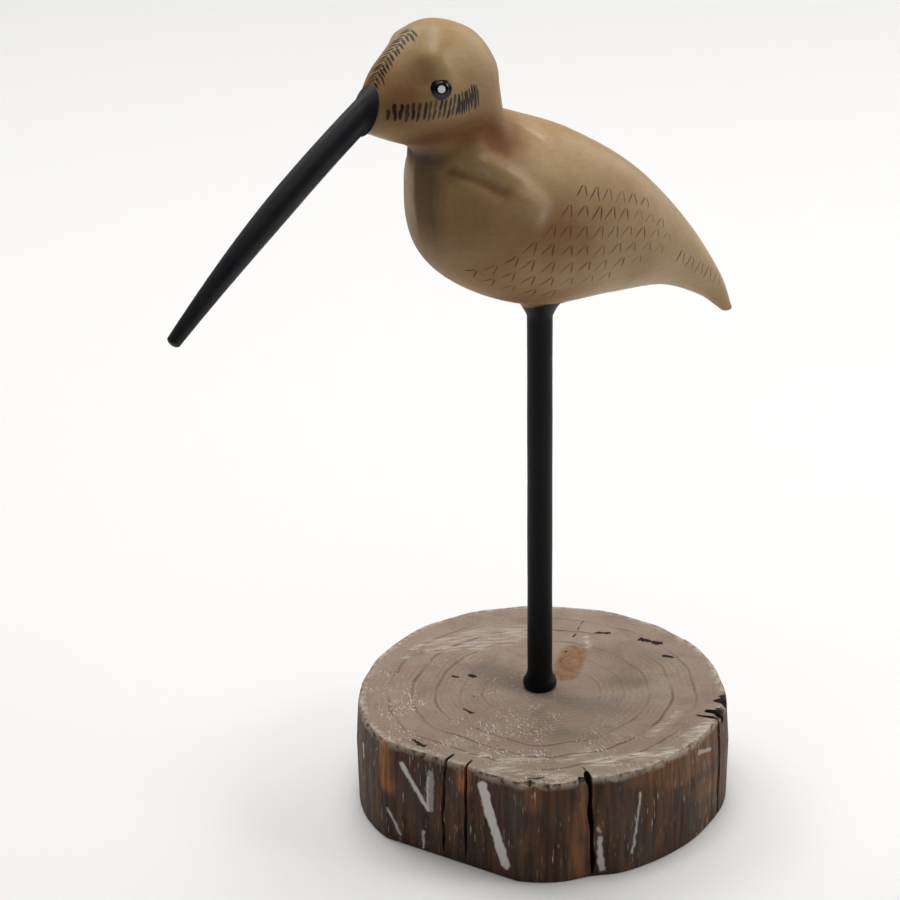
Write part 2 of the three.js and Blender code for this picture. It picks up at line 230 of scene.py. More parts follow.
def line_group():
    """Adds a soft-edged line between two places to a mask: 1 on the line, 0 away from it."""
    group = bpy.data.node_groups.new("worn_line", "ShaderNodeTree")
    for label, kind in (("So far", "Float"), ("Place", "Vector"), ("From", "Vector"), ("To", "Vector"),
                        ("Width", "Float"), ("Soft", "Float"), ("Strength", "Float")):
        group.interface.new_socket(label, in_out="INPUT", socket_type="NodeSocket" + kind)
    group.interface.new_socket("Mask", in_out="OUTPUT", socket_type="NodeSocketFloat")
    given = add(group, "NodeGroupInput").outputs
    run = add(group, "ShaderNodeVectorMath", {0: given["To"], 1: given["From"]}, operation="SUBTRACT")
    there = add(group, "ShaderNodeVectorMath", {0: given["Place"], 1: given["From"]}, operation="SUBTRACT")
    covered = add(group, "ShaderNodeVectorMath", {0: there, 1: run}, operation="DOT_PRODUCT")
    whole = add(group, "ShaderNodeVectorMath", {0: run, 1: run}, operation="DOT_PRODUCT")
    share = add(group, "ShaderNodeMath", {0: covered.outputs["Value"], 1: whole.outputs["Value"]},
                operation="DIVIDE", use_clamp=True)
    nearest = add(group, "ShaderNodeVectorMath", {0: run, "Scale": share}, operation="SCALE")
    away = add(group, "ShaderNodeVectorMath", {0: there, 1: nearest}, operation="SUBTRACT")
    away = add(group, "ShaderNodeVectorMath", {0: away}, operation="LENGTH")
    inside = add(group, "ShaderNodeMath", {0: given["Width"], 1: 0.5}, operation="MULTIPLY")
    outside = add(group, "ShaderNodeMath", {0: inside, 1: given["Soft"]}, operation="ADD")
    inside = add(group, "ShaderNodeMath", {0: inside, 1: given["Soft"]}, operation="SUBTRACT")
    mask = add(group, "ShaderNodeMapRange", {
        0: away.outputs["Value"], 1: inside, 2: outside, 3: given["Strength"], 4: 0.0},
        interpolation_type="SMOOTHSTEP")
    mask = add(group, "ShaderNodeMath", {0: mask, 1: given["So far"]}, operation="MAXIMUM")
    add(group, "NodeGroupOutput", {0: mask})
    return group


worn_line = line_group()


def soft_line_masks(tree, place, lines, soft):
    """The strongest of several lines, each (from, to, width in mm, strength)."""
    total = 0.0
    for start, end, width, strength in lines:
        total = add(tree, "ShaderNodeGroup", {
            "So far": total, "Place": place, "From": start, "To": end, "Width": width, "Soft": soft,
            "Strength": strength}, node_tree=worn_line)
    return total


def patches(tree, place, lengths, low, high, seed=0.0, detail=2.0, turned=0.0):
    """A mask of soft patches of these lengths in mm; low and high set how sharply they stand out."""
    scaled = add(tree, "ShaderNodeMapping", {
        "Vector": place, "Location": (seed, seed, seed), "Rotation": (0, 0, math.radians(turned))},
        vector_type="TEXTURE")
    waves = tuple(1 / length for length in lengths)
    scaled = add(tree, "ShaderNodeVectorMath", {0: scaled, 1: waves}, operation="MULTIPLY")
    made = add(tree, "ShaderNodeTexNoise", {"Vector": scaled, "Scale": 1.0, "Detail": detail})
    return add(tree, "ShaderNodeMapRange", {0: made.outputs["Fac"], 1: low, 2: high})


def coats(tree, ground, *layers):
    """Lays coats of colour over a ground. Each is a colour and the masks that together share it out."""
    for over, share, *masks in layers:
        for mask in masks:
            share = add(tree, "ShaderNodeMath", {0: share, 1: mask}, operation="MULTIPLY")
        under, over = (paint(c) if isinstance(c, str) else c for c in (ground, over))
        ground = add(tree, "ShaderNodeMix", {0: share, 6: under, 7: over}, data_type="RGBA").outputs[2]
    return ground


def in_millimetres(tree):
    """The place that is being coloured, in millimetres."""
    at = add(tree, "ShaderNodeTexCoord").outputs["Object"]
    return add(tree, "ShaderNodeVectorMath", {0: at, "Scale": 1 / MM}, operation="SCALE")


def slice_place(tree):
    """Millimetres from the heart of the slice's foot."""
    at = in_millimetres(tree)
    return add(tree, "ShaderNodeVectorMath", {0: at, 1: (*LOG_CENTRE, 0)}, operation="SUBTRACT")


def jogged(tree, place, amount, length):
    """The same place pushed about by noise, so that what is drawn there has ragged edges."""
    push = add(tree, "ShaderNodeTexNoise", {"Vector": place, "Scale": 1 / length, "Detail": 3.0})
    push = push.outputs["Color"]
    push = add(tree, "ShaderNodeVectorMath", {0: push, 1: (0.5, 0.5, 0.5)}, operation="SUBTRACT")
    push = add(tree, "ShaderNodeVectorMath", {0: push, "Scale": 2 * amount}, operation="SCALE")
    return add(tree, "ShaderNodeVectorMath", {0: place, 1: push}, operation="ADD")


# Sawn end grain, matt: growth rings under a thin greyish wash that caught on the saw's scratches.
SAW_TURN = 77                      # degrees that the saw's scratches lie from the bird's own line
RINGS = [(58.2, 0.8), (49.3, 1.0), (40.3, 0.7), (30.5, 0.35), (22.0, 0.3)]      # radius, strength
# Most places on this face were picked in the photograph, and a ray cast gave the millimetres.
TOP_PITS = [                       # from, to, width: the larger knot and worm holes
    ((-15.4, 26.2), (-14.5, 24.9), 2.2), ((-21.3, 29.4), (-20.0, 28.2), 1.5),
    ((-31.5, 5.5), (-29.8, 1.1), 1.2), ((-59.4, -4.7), (-58.3, -9.7), 1.9),
    ((55.5, 14.7), (57.1, 11.6), 2.5), ((58.2, 9.8), (59.9, 8.4), 2.4), ((55.5, -0.8), (57.2, -3.3), 2.0),
    ((43.4, 28.8), (47.8, 26.0), 1.7), ((-38.6, -51.0), (-34.4, -53.1), 1.2)]
PINHOLES = [((-27, 14), 17), ((-33, -5), 12), ((-54, -18), 9)]      # where small ones lie: middle, reach
DRYING_CRACK = [(45.4, 40.2), (31.2, 27.1), (18.6, 16.1)]
THICK_WASH = [                     # from, to, width, strength
    ((-17.8, 57.5), (-22.7, 55.2), 2.6, 0.8), ((-22.7, 55.2), (-29.6, 50.8), 1.8, 0.7),
    ((-47.8, -24.1), (-43.5, -28.1), 3.4, 0.9), ((-40.2, -35.2), (-28.0, -39.5), 5.0, 0.75),
    ((-45.5, -38.0), (-26.0, -58.5), 5.0, 0.65), ((39.0, 28.3), (34.6, 20.7), 1.6, 0.9),
    ((-21.0, -46.4), (-10.5, -45.8), 4.0, 0.65), ((-13.7, -54.4), (15.5, -62.6), 6.0, 1.0),
    ((28.5, -58.0), (39.0, -54.0), 7.0, 0.9), ((16.0, -48.9), (34.0, -41.0), 3.5, 0.55),
    ((-14.0, 53.0), (8.0, 50.0), 12.0, 0.5), ((2.0, 47.0), (20.0, 44.0), 14.0, 0.5)]
BARE_HEART = [((15.5, 7.5), (28.0, 20.5), 10.5, 1.0)]  # where the wash has come off
SMUDGES = [                        # from, to, width, strength
    ((-8, 26), (-2, 12), 15.0, 0.55), ((28, -8), (34, -12), 7.0, 0.5), ((-12, -30), (-4, -37), 9.0, 0.35),
    ((6, -14), (16, -24), 12.0, 0.3), ((44, 10), (50, 0), 12.0, 0.25)]
WASH_LEVEL = 41                    # lines of wash and smudges lie this high, just under the sawn face
RING_GAP, RING_WAVER = 2.3, 3.4    # mm between fine rings, and how far they wander off a true round


def lifted(lines, height):
    """Lines drawn flat on the sawn face, at this height."""
    return [((*start, height), (*end, height), width, strength) for start, end, width, strength in lines]


end_grain, tree, out = material("whitewashed_end_grain")
place = slice_place(tree)
ring = add(tree, "ShaderNodeAttribute", attribute_name="ring_mm").outputs["Fac"]
crack = add(tree, "ShaderNodeAttribute", attribute_name="crack").outputs["Fac"]
ragged = jogged(tree, place, 1.3, 5)
colour = coats(tree, "#9a8a76",
               ("#957f71", patches(tree, place, (17, 17, 17), 0.38, 0.64, 0, 4.0)),
               ("#9a8d7f", patches(tree, place, (26, 14, 20), 0.48, 0.70, 9, 3.0), 0.8),
               ("#6f665b", patches(tree, place, (12, 12, 12), 0.52, 0.74, 31, 3.0), 0.45))
ring_wave = patches(tree, place, (14, 14, 14), 0.0, 1.0, 4)
bent_ring = add(tree, "ShaderNodeMath", {0: ring_wave, 1: RING_WAVER, 2: ring}, operation="MULTIPLY_ADD")
fine_ring = add(tree, "ShaderNodeMath", {0: bent_ring, 1: 2 * math.pi / RING_GAP}, operation="MULTIPLY")
fine_ring = add(tree, "ShaderNodeMath", {0: fine_ring}, operation="SINE")
fine_ring = add(tree, "ShaderNodeMapRange", {0: fine_ring, 1: -1.0, 2: 1.0, 3: 0.0, 4: 0.22})
ring_seen = patches(tree, place, (20, 20, 20), 0.42, 0.62, 17)
colour = coats(tree, colour, ("#6e5a4b", fine_ring, ring_seen))
for radius, strength in RINGS:
    off_ring = add(tree, "ShaderNodeMath", {0: bent_ring, 1: radius + RING_WAVER / 2}, operation="SUBTRACT")
    off_ring = add(tree, "ShaderNodeMath", {0: off_ring}, operation="ABSOLUTE")
    grown = add(tree, "ShaderNodeMapRange", {0: off_ring, 1: 0.15, 2: 0.9, 3: 0.75 * strength, 4: 0.0})
    gap = patches(tree, place, (24, 24, 24), 0.36, 0.56, radius)
    colour = coats(tree, colour, ("#5f4636", grown, gap))
smudges = soft_line_masks(tree, ragged, lifted(SMUDGES, WASH_LEVEL), 5.0)
colour = coats(tree, colour, ("#5c544b", smudges))
bare = soft_line_masks(tree, ragged, lifted(BARE_HEART, WASH_LEVEL), 1.2)
bare_wood = coats(tree, "#7b573c", ("#93704e", patches(tree, place, (3, 3, 3), 0.35, 0.65, 2)))
colour = coats(tree, colour, (bare_wood, bare, 0.85))
scratched = patches(tree, place, (0.55, 2.2, 9), 0.60, 0.68, 3, 1.0, SAW_TURN - 90)
clusters = patches(tree, place, (13, 13, 13), 0.46, 0.60, 23, 1.0)
left_half = add(tree, "ShaderNodeVectorMath", {0: place, 1: (-0.94, -0.34, 0)}, operation="DOT_PRODUCT")
left_half = add(tree, "ShaderNodeMapRange", {
    0: left_half.outputs["Value"], 1: -12.0, 2: 24.0, 3: 0.12, 4: 1.0})
not_bare = add(tree, "ShaderNodeMath", {0: 1.0, 1: bare}, operation="SUBTRACT")
colour = coats(tree, colour, ("#c9c0b4", scratched, clusters, left_half, not_bare))
smeared = patches(tree, place, (1.3, 9, 9), 0.42, 0.62, 7, 3.0, 68)
thick = soft_line_masks(tree, ragged, lifted(THICK_WASH, WASH_LEVEL), 1.5)
colour = coats(tree, colour, ("#c6bdb1", thick, smeared))
near_rim = add(tree, "ShaderNodeMapRange", {0: ring, 1: LOG_RADIUS - 3.5, 2: LOG_RADIUS - 0.8})
rim_wash = patches(tree, place, (2.2, 2.2, 2.2), 0.44, 0.58, 12, 3.0)
colour = coats(tree, colour, ("#c2b8aa", near_rim, rim_wash, 0.75))
specks = patches(tree, place, (0.7, 0.7, 0.7), 0.62, 0.72, 41, 1.0)
colour = coats(tree, colour, ("#5b4c40", specks, 0.5))
# Knot holes, worm holes, pinholes and the drying split are only colour and bump here: their near black is
# painted shade. The cracks and chips, which the mesh has, are darkened too, with dust and painted shade.
pit_place = jogged(tree, jogged(tree, place, 1.6, 3.2), 0.9, 1.2)
pits = soft_line_masks(tree, pit_place, lifted([(*pit, 1.0) for pit in TOP_PITS], LOG_HEIGHT), 0.25)
holed = soft_line_masks(tree, place, [((*at, LOG_HEIGHT), (*at, LOG_HEIGHT + 0.1), reach, 1.0)
                                 for at, reach in PINHOLES], 5.0)
cell = add(tree, "ShaderNodeTexVoronoi", {"Vector": pit_place, "Scale": 1 / 3.8, "Randomness": 1.0})
lucky = add(tree, "ShaderNodeSeparateXYZ", {0: cell.outputs["Color"]}).outputs["X"]
lucky = add(tree, "ShaderNodeMath", {0: lucky, 1: 0.50}, operation="GREATER_THAN")
pinhole = add(tree, "ShaderNodeMapRange", {0: cell.outputs["Distance"], 1: 0.11, 2: 0.16, 3: 1.0, 4: 0.0})
pinhole = add(tree, "ShaderNodeMath", {0: pinhole, 1: lucky}, operation="MULTIPLY")
pinhole = add(tree, "ShaderNodeMath", {0: pinhole, 1: holed}, operation="MULTIPLY")
pits = add(tree, "ShaderNodeMath", {0: pits, 1: pinhole}, operation="MAXIMUM")
split = [(start, end, 0.8, 1.0) for start, end in zip(DRYING_CRACK, DRYING_CRACK[1:])]
split = soft_line_masks(tree, pit_place, lifted(split, LOG_HEIGHT), 0.2)
dotted = patches(tree, place, (1.6, 1.6, 1.6), 0.50, 0.56, 5, 0.0)
split = add(tree, "ShaderNodeMath", {0: split, 1: dotted}, operation="MULTIPLY")
pits = add(tree, "ShaderNodeMath", {0: pits, 1: split}, operation="MAXIMUM")
cracked = add(tree, "ShaderNodeMapRange", {0: crack, 1: 0.04, 2: 0.16})
pits = add(tree, "ShaderNodeMath", {0: pits, 1: cracked}, operation="MAXIMUM")
colour = coats(tree, colour, ("#1a130e", pits))
height = add(tree, "ShaderNodeMath", {0: scratched, 1: clusters}, operation="MULTIPLY")
height = add(tree, "ShaderNodeMath", {0: smeared, 1: 0.5, 2: height}, operation="MULTIPLY_ADD")
height = add(tree, "ShaderNodeMath", {0: pits, 1: -2.5, 2: height}, operation="MULTIPLY_ADD")
bumps = add(tree, "ShaderNodeBump", {"Height": height, "Strength": 0.5, "Distance": 0.15 * MM})
wood = add(tree, "ShaderNodeBsdfPrincipled", {
    "Base Color": colour, "Roughness": 0.85, "Normal": bumps, "Specular IOR Level": 0.25})
tree.links.new(wood.outputs[0], out.inputs[0])

# Split side grain, dark-stained: dull, with upright fibres, worn orange in places and streaked.
# Most places on the side were picked and carried over in the same way.
WORN_ZONES = [                     # from, to, width, strength: where orange wood shows through
    ((-67.5, 3.0, 41), (-67.8, 0.5, 24), 7.0, 1.0), ((-53.5, -30.7, 41), (-53.5, -30.8, 33), 6.0, 0.9),
    ((-39.5, -54.0, 41), (-40.0, -55.5, 33), 5.5, 0.45), ((-23.0, -62.5, 40), (-23.1, -63.2, 20), 3.0, 0.6),
    ((-24.8, -62.5, 12), (-25.0, -62.6, 3), 5.0, 0.7), ((-2.0, -68.1, 40), (12.0, -67.5, 39), 10.0, 0.30),
    ((12.0, -67.5, 36), (39.0, -56.0, 33), 14.0, 0.35), ((30.0, -62.0, 20), (44.0, -53.0, 16), 9.0, 0.25),
    ((60.0, 28.0, 34), (52.0, 44.0, 22), 12.0, 0.5), ((-20.0, 66.0, 32), (10.0, 68.0, 24), 12.0, 0.5)]
SIDE_RUNS = [                      # from, to, width, strength: runs and scrapes of whitewash
    ((-50.6, -38.1, 36), (-46.6, -47.2, 5.7), 4.0, 1.0),
    ((-65.6, -6.0, 34.4), (-61.1, -16.6, 18.5), 1.9, 0.9),
    ((-60.7, -16.8, 32.6), (-61.1, -16.6, 19.4), 1.4, 0.8),
    ((-17.4, -62.4, 37.1), (-16.0, -65.2, 2.8), 2.3, 0.75),
    ((-1.2, -68.2, 32.1), (-4.4, -68.2, 7.6), 0.9, 0.7),
    ((-68.6, -0.2, 13.2), (-66.1, -5.2, 3.7), 1.0, 0.8),
    ((-61.8, -14.6, 8.3), (-61.8, -14.4, 1.3), 1.0, 0.8),
    ((-67.1, 19.1, 30.9), (-67.5, 18.6, 26.1), 1.4, 0.8),
    ((30.0, -61.5, 36), (38.0, -58.0, 33), 2.0, 0.45),
    ((-60.3, -17.6, 33.7), (-60.5, -17.8, 19.4), 3.0, 0.4)]
side_grain, tree, out = material("dark_stained_side_grain")
place = slice_place(tree)
crack = add(tree, "ShaderNodeAttribute", attribute_name="crack").outputs["Fac"]
ragged = jogged(tree, place, 1.4, 6)
colour = coats(tree, "#352216",
               ("#5c3e26", patches(tree, place, (2.2, 2.2, 30), 0.38, 0.62, 3, 4.0)),
               ("#45403a", patches(tree, place, (14, 14, 26), 0.45, 0.65, 8, 3.0), 0.6))
worn = soft_line_masks(tree, ragged, WORN_ZONES, 2.5)
worn_fibres = patches(tree, place, (1.6, 1.6, 22), 0.30, 0.60, 13, 3.0)
colour = coats(tree, colour, ("#a86c38", worn, worn_fibres))
patchy = patches(tree, place, (8, 8, 18), 0.56, 0.68, 27, 3.0)
colour = coats(tree, colour, ("#7d5533", patchy, worn_fibres, 0.6))
runs = soft_line_masks(tree, jogged(tree, place, 1.0, 3), SIDE_RUNS, 0.5)
colour = coats(tree, colour, ("#e6e1d8", runs, 0.92))
dashes = patches(tree, place, (0.5, 0.5, 7), 0.66, 0.72, 19, 1.0)
colour = coats(tree, colour, ("#c4bbae", dashes, patches(tree, place, (9, 9, 12), 0.46, 0.60, 33), 0.7))
below_rim = add(tree, "ShaderNodeSeparateXYZ", {0: ragged}).outputs["Z"]
lip = add(tree, "ShaderNodeMapRange", {0: below_rim, 1: 38.6, 2: 40.6})
colour = coats(tree, colour, ("#a09181", lip, patches(tree, place, (3, 3, 3), 0.36, 0.52, 14, 3.0)))
# The cracks and chips are darkened near black, with dust and painted shade.
cracked = add(tree, "ShaderNodeMapRange", {0: crack, 1: 0.04, 2: 0.30})
colour = coats(tree, colour, ("#0f0b08", cracked))
fibre_height = patches(tree, place, (0.8, 0.8, 24), 0.2, 0.8, 21, 3.0)
bumps = add(tree, "ShaderNodeBump", {"Height": fibre_height, "Strength": 0.6, "Distance": 0.25 * MM})
wood = add(tree, "ShaderNodeBsdfPrincipled", {
    "Base Color": colour, "Roughness": 0.62, "Normal": bumps, "Specular IOR Level": 0.25})
tree.links.new(wood.outputs[0], out.inputs[0])

log_slice.data.materials.append(end_grain)
log_slice.data.materials.append(side_grain)
across = len(angle)
row = np.repeat(np.arange(len(drop) - 1), across)
on_side = (row >= FOOT_ROWS) & (row < TOP_FIRST - 2)
slots = np.concatenate([on_side.astype(int), np.zeros(2 * across, int)])
log_slice.data.polygons.foreach_set("material_index", slots)

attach(log_slice, "root")
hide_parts("base")


# DOWEL
# A round stick of wood, glued upright between the slice and the belly, with a bead of putty at
# either end. It is brushed with black paint, which stops short of the belly towards the bill.

ROD_RADIUS = 4.7
ROD_FOOT = (6.4, 8.0)              # the bead at the foot: its radius and its height
ROD_HEAD = (9.4, 194.6, 203.0)     # the flare under the belly: its radius, and where it starts and ends
FLARE_ROWS = 14
PUTTY_SHOWS = (-0.38, 0.25, 1.0)   # the direction in which paint gives way to bare putty
PUTTY_FROM = 203.2                 # and how many mm along it, which is lowest on the bill's side
GLUE_LINE = 0.3                    # room left between pieces that touch
ROD_SIDES = 72

bare_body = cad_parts["body"].data
belly = BVHTree.FromPolygons([v.co for v in bare_body.vertices], [p.vertices for p in bare_body.polygons])


def bend(points, count):
    """Points along a smooth curve that these pull into shape."""
    t = np.linspace(0, 1, count)[:, None]
    points = [np.array(p, float)[None] + 0 * t for p in points]
    while len(points) > 1:
        points = [a + (b - a) * t for a, b in zip(points, points[1:])]
    return points[0]


def up_to_belly(ring, highest):
    """Lets a ring's points end where they meet the belly, or at this height where that is lower."""
    for point in ring:
        hit = belly.ray_cast(Vector((point[0], point[1], 100)) * MM, Vector((0, 0, 1)))[0]
        point[2] = min(highest, hit.z / MM - GLUE_LINE)


standing = LOG_HEIGHT + GLUE_LINE
outline = np.vstack([
    [[0.02, standing], [ROD_FOOT[0] - 0.9, standing], [ROD_FOOT[0] - 0.5, standing]],
    bend([(ROD_FOOT[0] - 0.3, standing + 0.2), (ROD_FOOT[0], standing + 0.9),
          (ROD_FOOT[0], standing + 1.6)], 4),
    bend([(ROD_FOOT[0], standing + 1.6), (ROD_FOOT[0], LOG_HEIGHT + ROD_FOOT[1] * 0.55),
          (ROD_RADIUS, LOG_HEIGHT + ROD_FOOT[1] * 0.5), (ROD_RADIUS, LOG_HEIGHT + ROD_FOOT[1])], 14)[1:],
    np.stack([np.full(40, ROD_RADIUS), np.linspace(LOG_HEIGHT + ROD_FOOT[1], ROD_HEAD[1], 42)[1:-1]], -1),
    bend([(ROD_RADIUS, ROD_HEAD[1]), (ROD_RADIUS + 0.3, ROD_HEAD[1] + 2.4),
          (ROD_HEAD[0], ROD_HEAD[2])], FLARE_ROWS)])
turn = 2 * math.pi * np.arange(ROD_SIDES) / ROD_SIDES
rings = np.stack([outline[:, :1] * np.cos(turn), outline[:, :1] * np.sin(turn),
                  outline[:, 1:] + 0 * turn], -1)
rings[:, :, :2] *= 1 + 0.006 * np.sin(rings[:, :, 2:] / 7 + 2 * turn[None, :, None])
for ring in rings[-FLARE_ROWS:]:
    up_to_belly(ring, ring[0, 2])
closing = []
for share in (0.85, 0.6, 0.3, 0.05):
    ring = rings[-1].copy()
    ring[:, :2] *= share
    up_to_belly(ring, math.inf)
    closing.append(ring)
dowel = grid_mesh("painted_dowel", np.concatenate([rings, closing]))

# Black paint brushed on thinly: deep and nearly matt, and where it stops the tan putty is bare.
rod_paint, tree, out = material("brushed_black_paint_over_putty")
in_mm = in_millimetres(tree)
ragged = add(tree, "ShaderNodeTexNoise", {"Vector": in_mm, "Scale": 1 / 2.2, "Detail": 2.0})
paint_stops = add(tree, "ShaderNodeVectorMath", {0: in_mm, 1: PUTTY_SHOWS}, operation="DOT_PRODUCT")
paint_stops = add(tree, "ShaderNodeMath", {
    0: ragged.outputs["Fac"], 1: 2.0, 2: paint_stops.outputs["Value"]}, operation="MULTIPLY_ADD")
bare = add(tree, "ShaderNodeMapRange", {0: paint_stops, 1: PUTTY_FROM, 2: PUTTY_FROM + 0.4})
shade = coats(tree, "#0c0d11", ("#7c5f3f", bare))
coat = add(tree, "ShaderNodeBsdfPrincipled", {
    "Base Color": shade, "Roughness": 0.5, "Specular IOR Level": 0.16})
tree.links.new(coat.outputs[0], out.inputs[0])
dowel.data.materials.append(rod_paint)
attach(dowel, "root")
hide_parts("rod")


# BIRD
# Head and body carved from one block of close-grained wood, stained tan and varnished satin. The hollows
# are painted browner, partly as stain and partly as painted shade, and the keel and throat carry painted
# shade. Its marks are flat brushed colour: rows of inverted Vs on the wings and tail, upright dashes
# through the eye, and a herringbone stripe on the forehead.

# Back, belly and half width came out of a program's fit to the photographed outline. Only the first
# station's back and belly and the last three half widths were changed later. Widest and keel were
# no part of the fit.
BACK = [(85.4, 178.7), (78.8, 194.4), (62.6, 219.5), (39.6, 245.4), (12.9, 264.6), (-9.2, 275.2),
        (-18.0, 278.9), (-19.5, 282.0), (-19.2, 286.5), (-19.6, 291.9), (-21.0, 300.1),
        (-29.5, 311.1), (-45.5, 316.5), (-60.1, 307.6), (-68.7, 295.8)]
BELLY = [(80.4, 178.3), (69.5, 187.1), (50.6, 195.9), (24.7, 199.1), (-5.5, 201.7), (-30.8, 212.7),
         (-47.1, 227.3), (-51.7, 246.7), (-52.2, 260.8), (-51.5, 267.3), (-53.3, 270.6),
         (-56.7, 273.5), (-63.3, 276.5), (-69.3, 279.5), (-73.9, 281.9)]
HALF_WIDTH = [1.4, 5.6, 11.9, 20.1, 25.9, 28.5, 27.4, 22.9, 18.4, 16.7, 16.4, 17.2, 17.0, 12.8, 7.6]
WIDEST = [.50, .50, .50, .48, .48, .48, .48, .45, .42, .42, .42, .45, .50, .50, .50]
KEEL = [1, 1, 1, 1, 1, 1, 1, 1.15, 1.30, 1.25, 1.10, 1, 1, 1, 1]
TAIL_ROUND = 2.0
GOUGES = [                         # from, to, spread, depth: a furrow, or a ridge below zero
    ((-66, 292), (-56, 304), 6.0, 1.5), ((-39, 278), (-34, 276), 6.5, 2.0),
    ((-35, 273), (-15, 252), 3.6, -0.9), ((-45, 269), (-27, 259), 3.6, 1.1)]
FINE_GOUGES = [                    # the same work closer to, square to the skin: from, to, spread, depth
    ((-60, 10.5, 302.5), (-55.0, 13.5, 300.5), 4.0, 0.30),  # hollow under the brow
    ((-56, 12, 305), (-55, 14, 301), 3.4, 0.30),            # and up along its ridge
    ((-51.5, 12.6, 308.5), (-48.6, 16.4, 301.5), 3.8, -0.85),     # brow ridge
    ((-38, 15.5, 279), (-36, 16, 277), 5.0, -0.70),         # cheek, rounded over
    ((-30, 17, 275), (-22, 18.5, 271.5), 4.6, 0.60),        # side of the neck
    ((-48, 10, 269), (-43.5, 14, 269), 3.8, -0.70),         # throat, filled
    ((-16, 10.6, 274.8), (-10, 13.6, 270.3), 2.2, -0.60),   # shoulder beside the nape
    ((-29, 20, 271.5), (-13.5, 27, 253.5), 3.6, 0.45),        # behind the front edge of the wing
    ((-36, 20.6, 268.2), (-19.8, 28, 248.8), 3.8, -1.75),     # that edge
    ((-46, 15, 265.8), (-31.5, 24.6, 258), 2.4, 1.90)]        # and the furrow before it
STAIN = 0.2                        # how brown the stain is where it lies thin
# Darker and lighter patches over the stain: middle, reach each way, how much. They are partly stain left
# thick or wiped off, and partly painted shade (throat, neck, behind the neck, under the body) and painted
# light (crown, back, rump, tail). A program's fit gave the first amounts, and many were changed later.
STAIN_AND_SHADING_SPOTS = [
    ((-62, 292), (9, 10), 0.30), ((-44, 281), (14, 6.5), 0.65), ((-54, 277), (8, 6), 0.50),  # to the throat
    ((-27, 274), (8, 7), 0.60), ((-19, 276), (6, 6), 0.38), ((-26, 295), (10, 14), 0.25),    # neck and head
    ((-45, 308), (20, 9), -0.26), ((-42, 262), (9, 8), -0.16), ((0, 262), (22, 10), -0.15),  # crown to back
    ((-18, 244), (16, 11), 0.45), ((0, 236), (24, 14), 0.40),                        # wing, under the marks
    ((-42, 245), (12, 18), 0.30), ((-38, 222), (14, 14), 0.35), ((-16, 205), (20, 11), 0.85),  # underside
    ((35, 235), (20, 14), -0.12), ((62, 205), (18, 16), -0.25)]                      # rump and tail
FULLY_DARKENED_HOLLOW, POLISHED_RIDGE = 2.2, 1.6       # mm deep and proud at which the hollows' darkening (stain and painted shade) and the ridges' polish are full
KEEL_SHADE_DEPTH = 0.62                  # how dark the painted shade is beside the keel
KEEL_SHADE_SIDES = (-1.6, 15)            # it lies between these, in mm from the keel to the near side
KEEL_SHADE_HEIGHTS = (234, 276)
KEEL_SHADE_FRONT = -35                   # and only in front of this
KEEL_SHADE_SPOTS = [((-51, 269), (5.5, 5), 0.92), ((-55, 277.5), (8, 3.5), 0.40)]     # throat and chin
BODY_ROWS = 24                     # per station
BODY_SIDES = 144

stations = np.column_stack([BACK, BELLY, HALF_WIDTH, WIDEST, KEEL])


def along_bird(share):
    """Back, belly, half width, widest and keel at places counted in stations from the tail."""
    ends = np.vstack([2 * stations[0] - stations[1], stations, 2 * stations[-1] - stations[-2]])
    k = np.clip(share.astype(int), 0, len(stations) - 2)
    u = (share - k)[:, None]
    a, b, c, d = ends[k], ends[k + 1], ends[k + 2], ends[k + 3]
    bent = (2 * a - 5 * b + 4 * c - d) * u ** 2 + (3 * b - a - 3 * c + d) * u ** 3
    return 0.5 * (2 * b + (c - a) * u + bent)


def furrow(points, start, end, width):
    """How far each point lies in a round-bottomed furrow from start to end, from 0 to 1."""
    run = np.subtract(end, start).astype(float)
    from_start = points - np.array(start, float)
    share = np.clip(from_start @ run / (run @ run), 0, 1)
    away = np.linalg.norm(from_start - share[..., None] * run, axis=-1)
    return np.exp(-((away / width) ** 2))


place = np.linspace(0, len(stations) - 1, BODY_ROWS * (len(stations) - 1) + 1)
here = along_bird(place)[:, :, None]
turn = math.pi / 2 - 2 * math.pi * np.arange(BODY_SIDES) / BODY_SIDES
rise, spread = np.sin(turn), np.cos(turn)
up = here[:, 5] + rise * np.where(rise > 0, 1 - here[:, 5], here[:, 5])
skin = np.stack([
    here[:, 2] + (here[:, 0] - here[:, 2]) * up,
    here[:, 4] * np.sign(spread) * np.abs(spread) ** np.where(rise > 0, 1, here[:, 6]),
    here[:, 3] + (here[:, 1] - here[:, 3]) * up], -1)
hollow = sum(depth * furrow(skin[:, :, [0, 2]], start, end, width) for start, end, width, depth in GOUGES)
skin[:, :, 1] -= hollow * skin[:, :, 1] / here[:, 4]

ahead = np.gradient(skin, axis=0)
around = (np.roll(skin, -1, axis=1) - np.roll(skin, 1, axis=1)) / 2
outward = np.cross(ahead, around)
outward /= np.maximum(np.linalg.norm(outward, axis=-1, keepdims=True), 1e-9)
outward *= np.sign(((skin - skin.mean(1, keepdims=True)) * outward).sum(-1).mean())
one_side = np.stack([skin[:, :, 0], np.abs(skin[:, :, 1]), skin[:, :, 2]], -1)
fine = sum(depth * furrow(one_side, start, end, width) for start, end, width, depth in FINE_GOUGES)
away_from_bill = np.clip((len(stations) - 1 - place) / 0.5, 0, 1)[:, None]
skin -= outward * (fine * away_from_bill)[..., None]
hollow += fine
steps = np.linalg.norm(np.diff(skin, axis=0), axis=-1)
along_mm = np.vstack([np.zeros(BODY_SIDES), np.cumsum(steps, 0)])

